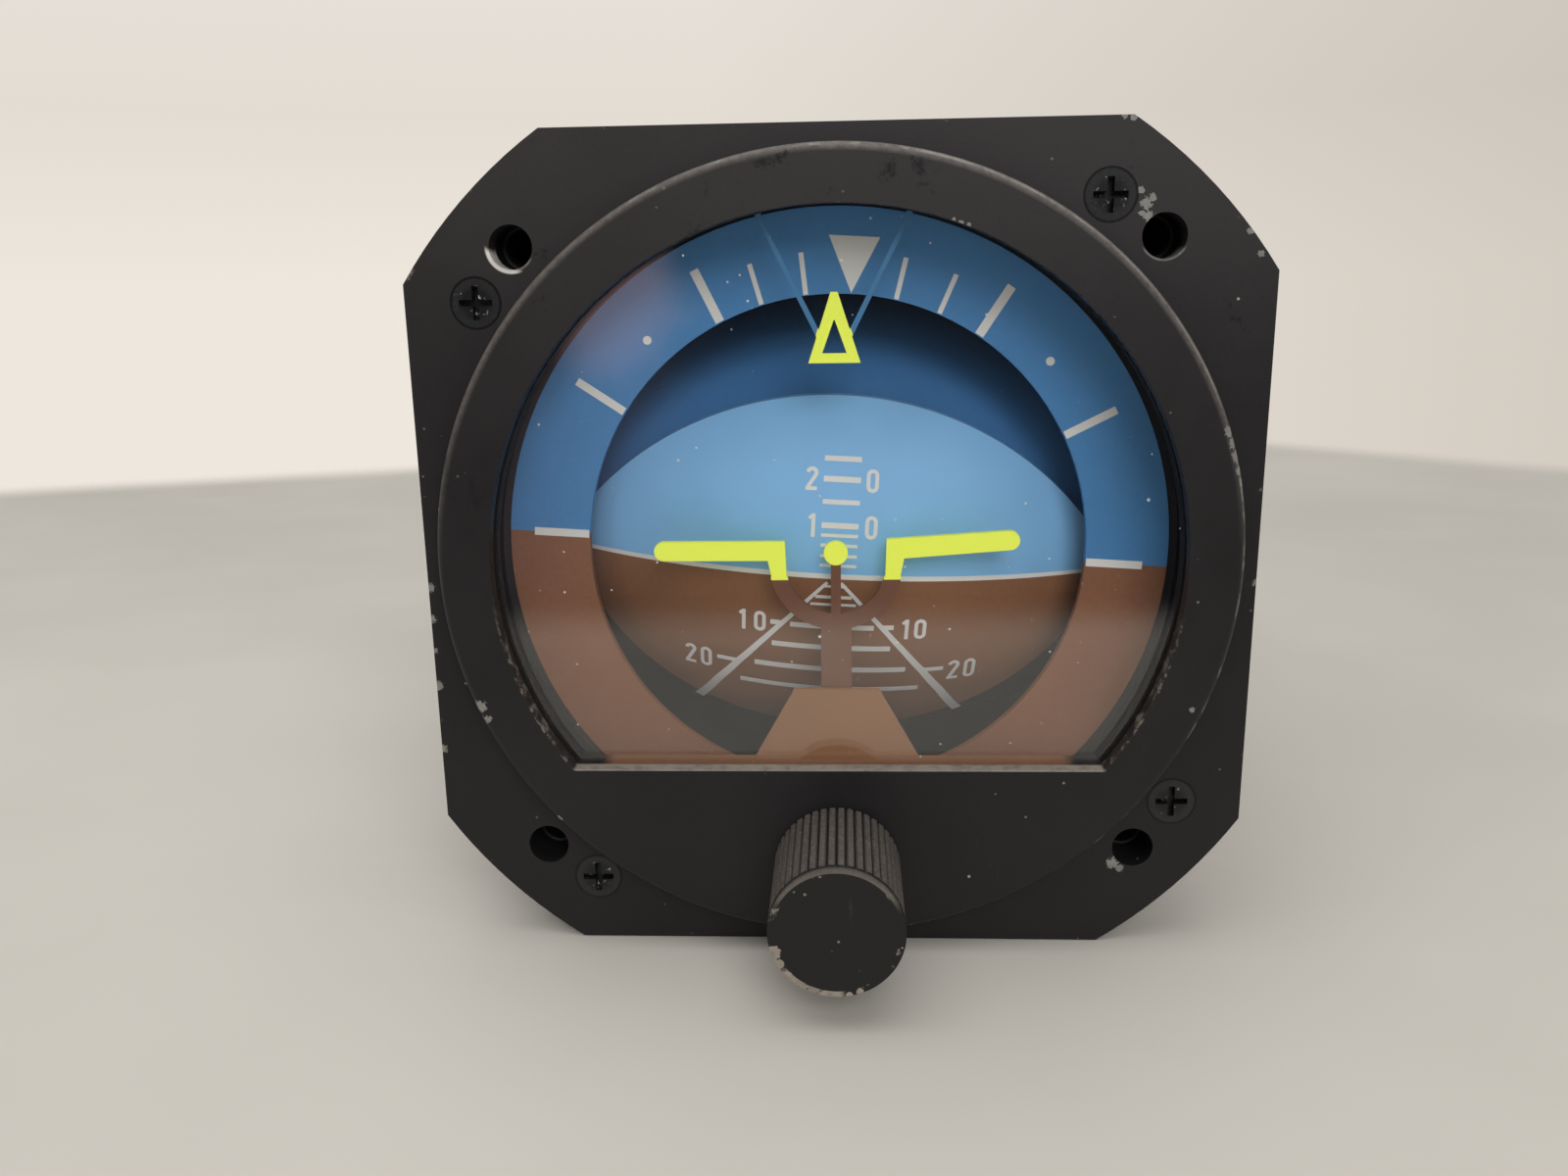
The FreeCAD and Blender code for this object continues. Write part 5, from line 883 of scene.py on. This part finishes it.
def sheet_piece(name, corners, surface):
    """A flat stage piece."""
    data = bpy.data.meshes.new(name)
    data.from_pydata([Vector(c) * MM for c in corners], [], [tuple(range(len(corners)))])
    piece = bpy.data.objects.new(name, data)
    bpy.context.scene.collection.objects.link(piece)
    data.materials.append(surface.mat)
    return piece


def past(s, x, y, edge):
    """How far a point lies beyond the line of an edge."""
    (ax, ay), (bx, by) = edge
    run = math.hypot(bx - ax, by - ay)
    nx, ny = (ay - by) / run, (bx - ax) / run
    return s.minus(s.plus(s.times(x, nx), s.times(y, ny)), (ax * nx + ay * ny) * MM)


def table_top():
    """Pale top with faint smears and specks, which fades out softly at its far edge."""
    s = Surface("table_top", rough=0.6, spec=0.2)
    x, y, _ = s.axes()
    s.colour(s.mix(s.patches(7.0, 0.3, 0.7, 4.0, 0.5), srgb((190, 186, 178)),
                   srgb((203, 199, 191))))
    smear = s.patches(16.0, 0.58, 0.74, 5.0, 0.6, where=s.stretched(0.5, 1.6, 1.0))
    s.cover(s.times(smear, 0.35), (208, 204, 197))
    s.cover(s.times(specks(s, 45.0, 0.02, 0.6), 0.4), (120, 112, 98))
    s.bump(s.noise(1500.0, 3.0), 0.08, 0.03)
    beyond = s.most(past(s, x, y, LEFT_EDGE), past(s, x, y, RIGHT_EDGE))
    clear = s.node("ShaderNodeBsdfTransparent")
    s.blended(s.span(beyond, -16.0, 16.0), s.shader.outputs[0], clear.outputs[0], s.output)
    return s


def card_glow():
    """The room that the glass reflects: dim, with a grey haze and a pink blush to the left."""
    s = Surface("room_card", rough=1.0, spec=0.0)
    uneven = s.times(s.noise(38.0, 3.0), 16.0 * MM)
    blush = s.span(s.plus(uneven, s.radius_about("Y", (-46.0, 0.0, 27.0))), 27.0, 15.0)
    haze = s.span(s.plus(uneven, s.radius_about("Y", (-70.0, 0.0, 0.0))), 62.0, 28.0)
    s.colour(s.mix(s.noise(12.0, 3.0), srgb((44, 48, 54)), srgb((66, 66, 68))))
    s.cover(s.times(haze, 0.8), (128, 118, 126))
    s.cover(blush, (232, 190, 190))
    glow = s.node("ShaderNodeEmission")
    s.link(s.base, glow.inputs[0])
    clear = s.node("ShaderNodeBsdfTransparent")
    s.blended(s.span(s.axes()[2], -46.0, -36.0), clear.outputs[0], glow.outputs[0], s.output)
    return s


sheet_piece("table", [(x, y, table_height(y)) for x, y in (
    (-TABLE_REACH, -TABLE_REACH), (TABLE_REACH, -TABLE_REACH),
    (TABLE_REACH, TABLE_END), (-TABLE_REACH, TABLE_END))], table_top())
room_card = sheet_piece("room_card", [(x, CARD_PLACE, z) for x, z in (
    (-CARD_REACH, table_height(CARD_PLACE)), (CARD_REACH, table_height(CARD_PLACE)),
    (CARD_REACH, CARD_TOP), (-CARD_REACH, CARD_TOP))], card_glow())
room_card.visible_camera = False
room_card.visible_diffuse = False
room_card.visible_shadow = False

# The world: an even warm light on the object, and a pale wall where it is seen, in a reflection
# or through glass.
LIT_COLOUR, LIT_STRENGTH = (1.0, 0.985, 0.96, 1.0), 0.55
WALL_STOPS = [(0.0, (238, 231, 221)), (0.12, (227, 220, 211)), (1.0, (255, 255, 255))]
WALL_SHADE = (168, 158, 146)

world = bpy.data.worlds.new("room")
bpy.context.scene.world = world
world.use_nodes = True
world.node_tree.nodes.clear()
room = Graph(world.node_tree, "Generated")
across, _, height = room.axes()
wall = room.node("ShaderNodeValToRGB")
room.link(height, wall.inputs[0])
stops = wall.color_ramp.elements
stops.new(0.5)
for stop, (place, tone) in zip(stops, WALL_STOPS):
    stop.position = place
    stop.color = srgb(tone)
to_right = room.ramp(across, -0.1, 0.6, 0.0, 0.5, smooth=False)
seen = room.node("ShaderNodeBackground")
room.link(room.mix(to_right, wall.outputs[0], srgb(WALL_SHADE)), seen.inputs["Color"])
lit = room.node("ShaderNodeBackground")
lit.inputs["Color"].default_value = LIT_COLOUR
lit.inputs["Strength"].default_value = LIT_STRENGTH
rays = room.node("ShaderNodeLightPath")
in_view = room.most(*[rays.outputs["Is %s Ray" % kind]
                      for kind in ("Camera", "Glossy", "Transmission")])
room.blended(in_view, lit.outputs[0], seen.outputs[0], room.node("ShaderNodeOutputWorld"))


def softbox(name, place, aim, size, watts, colour=(1.0, 1.0, 1.0)):
    """A rectangular lamp aimed at a point; place, aim and size are in metres."""
    data = bpy.data.lights.new(name, "AREA")
    data.shape = "RECTANGLE"
    data.size, data.size_y = size
    data.energy = watts
    data.color = colour
    lamp = bpy.data.objects.new(name, data)
    bpy.context.scene.collection.objects.link(lamp)
    lamp.location = place
    lamp.rotation_euler = (Vector(aim) - Vector(place)).to_track_quat("-Z", "Y").to_euler()


softbox("ceiling", (-0.05, -0.05, 0.62), (0.0, 0.04, 0.0), (0.7, 0.6), 2.1, (1.0, 0.99, 0.97))
softbox("front_fill", (0.16, -0.6, 0.36), (0.0, 0.0, 0.0), (0.36, 0.3), 1.7)

# The camera, at the place, turn (degrees) and focal length that fit the photograph's view.
CAMERA_PLACE, CAMERA_TURN = (0.000924, -0.12487, 0.02749), (76.3762, 0.9138, 2.6369)
camera = bpy.data.objects.new("camera", bpy.data.cameras.new("camera"))
bpy.context.scene.collection.objects.link(camera)
camera.location = CAMERA_PLACE
camera.rotation_euler = [math.radians(a) for a in CAMERA_TURN]
camera.data.sensor_width = 36.0
camera.data.lens = 28.755
camera.data.clip_start = 0.001
bpy.context.scene.camera = camera

bpy.context.scene.view_settings.view_transform = "Standard"
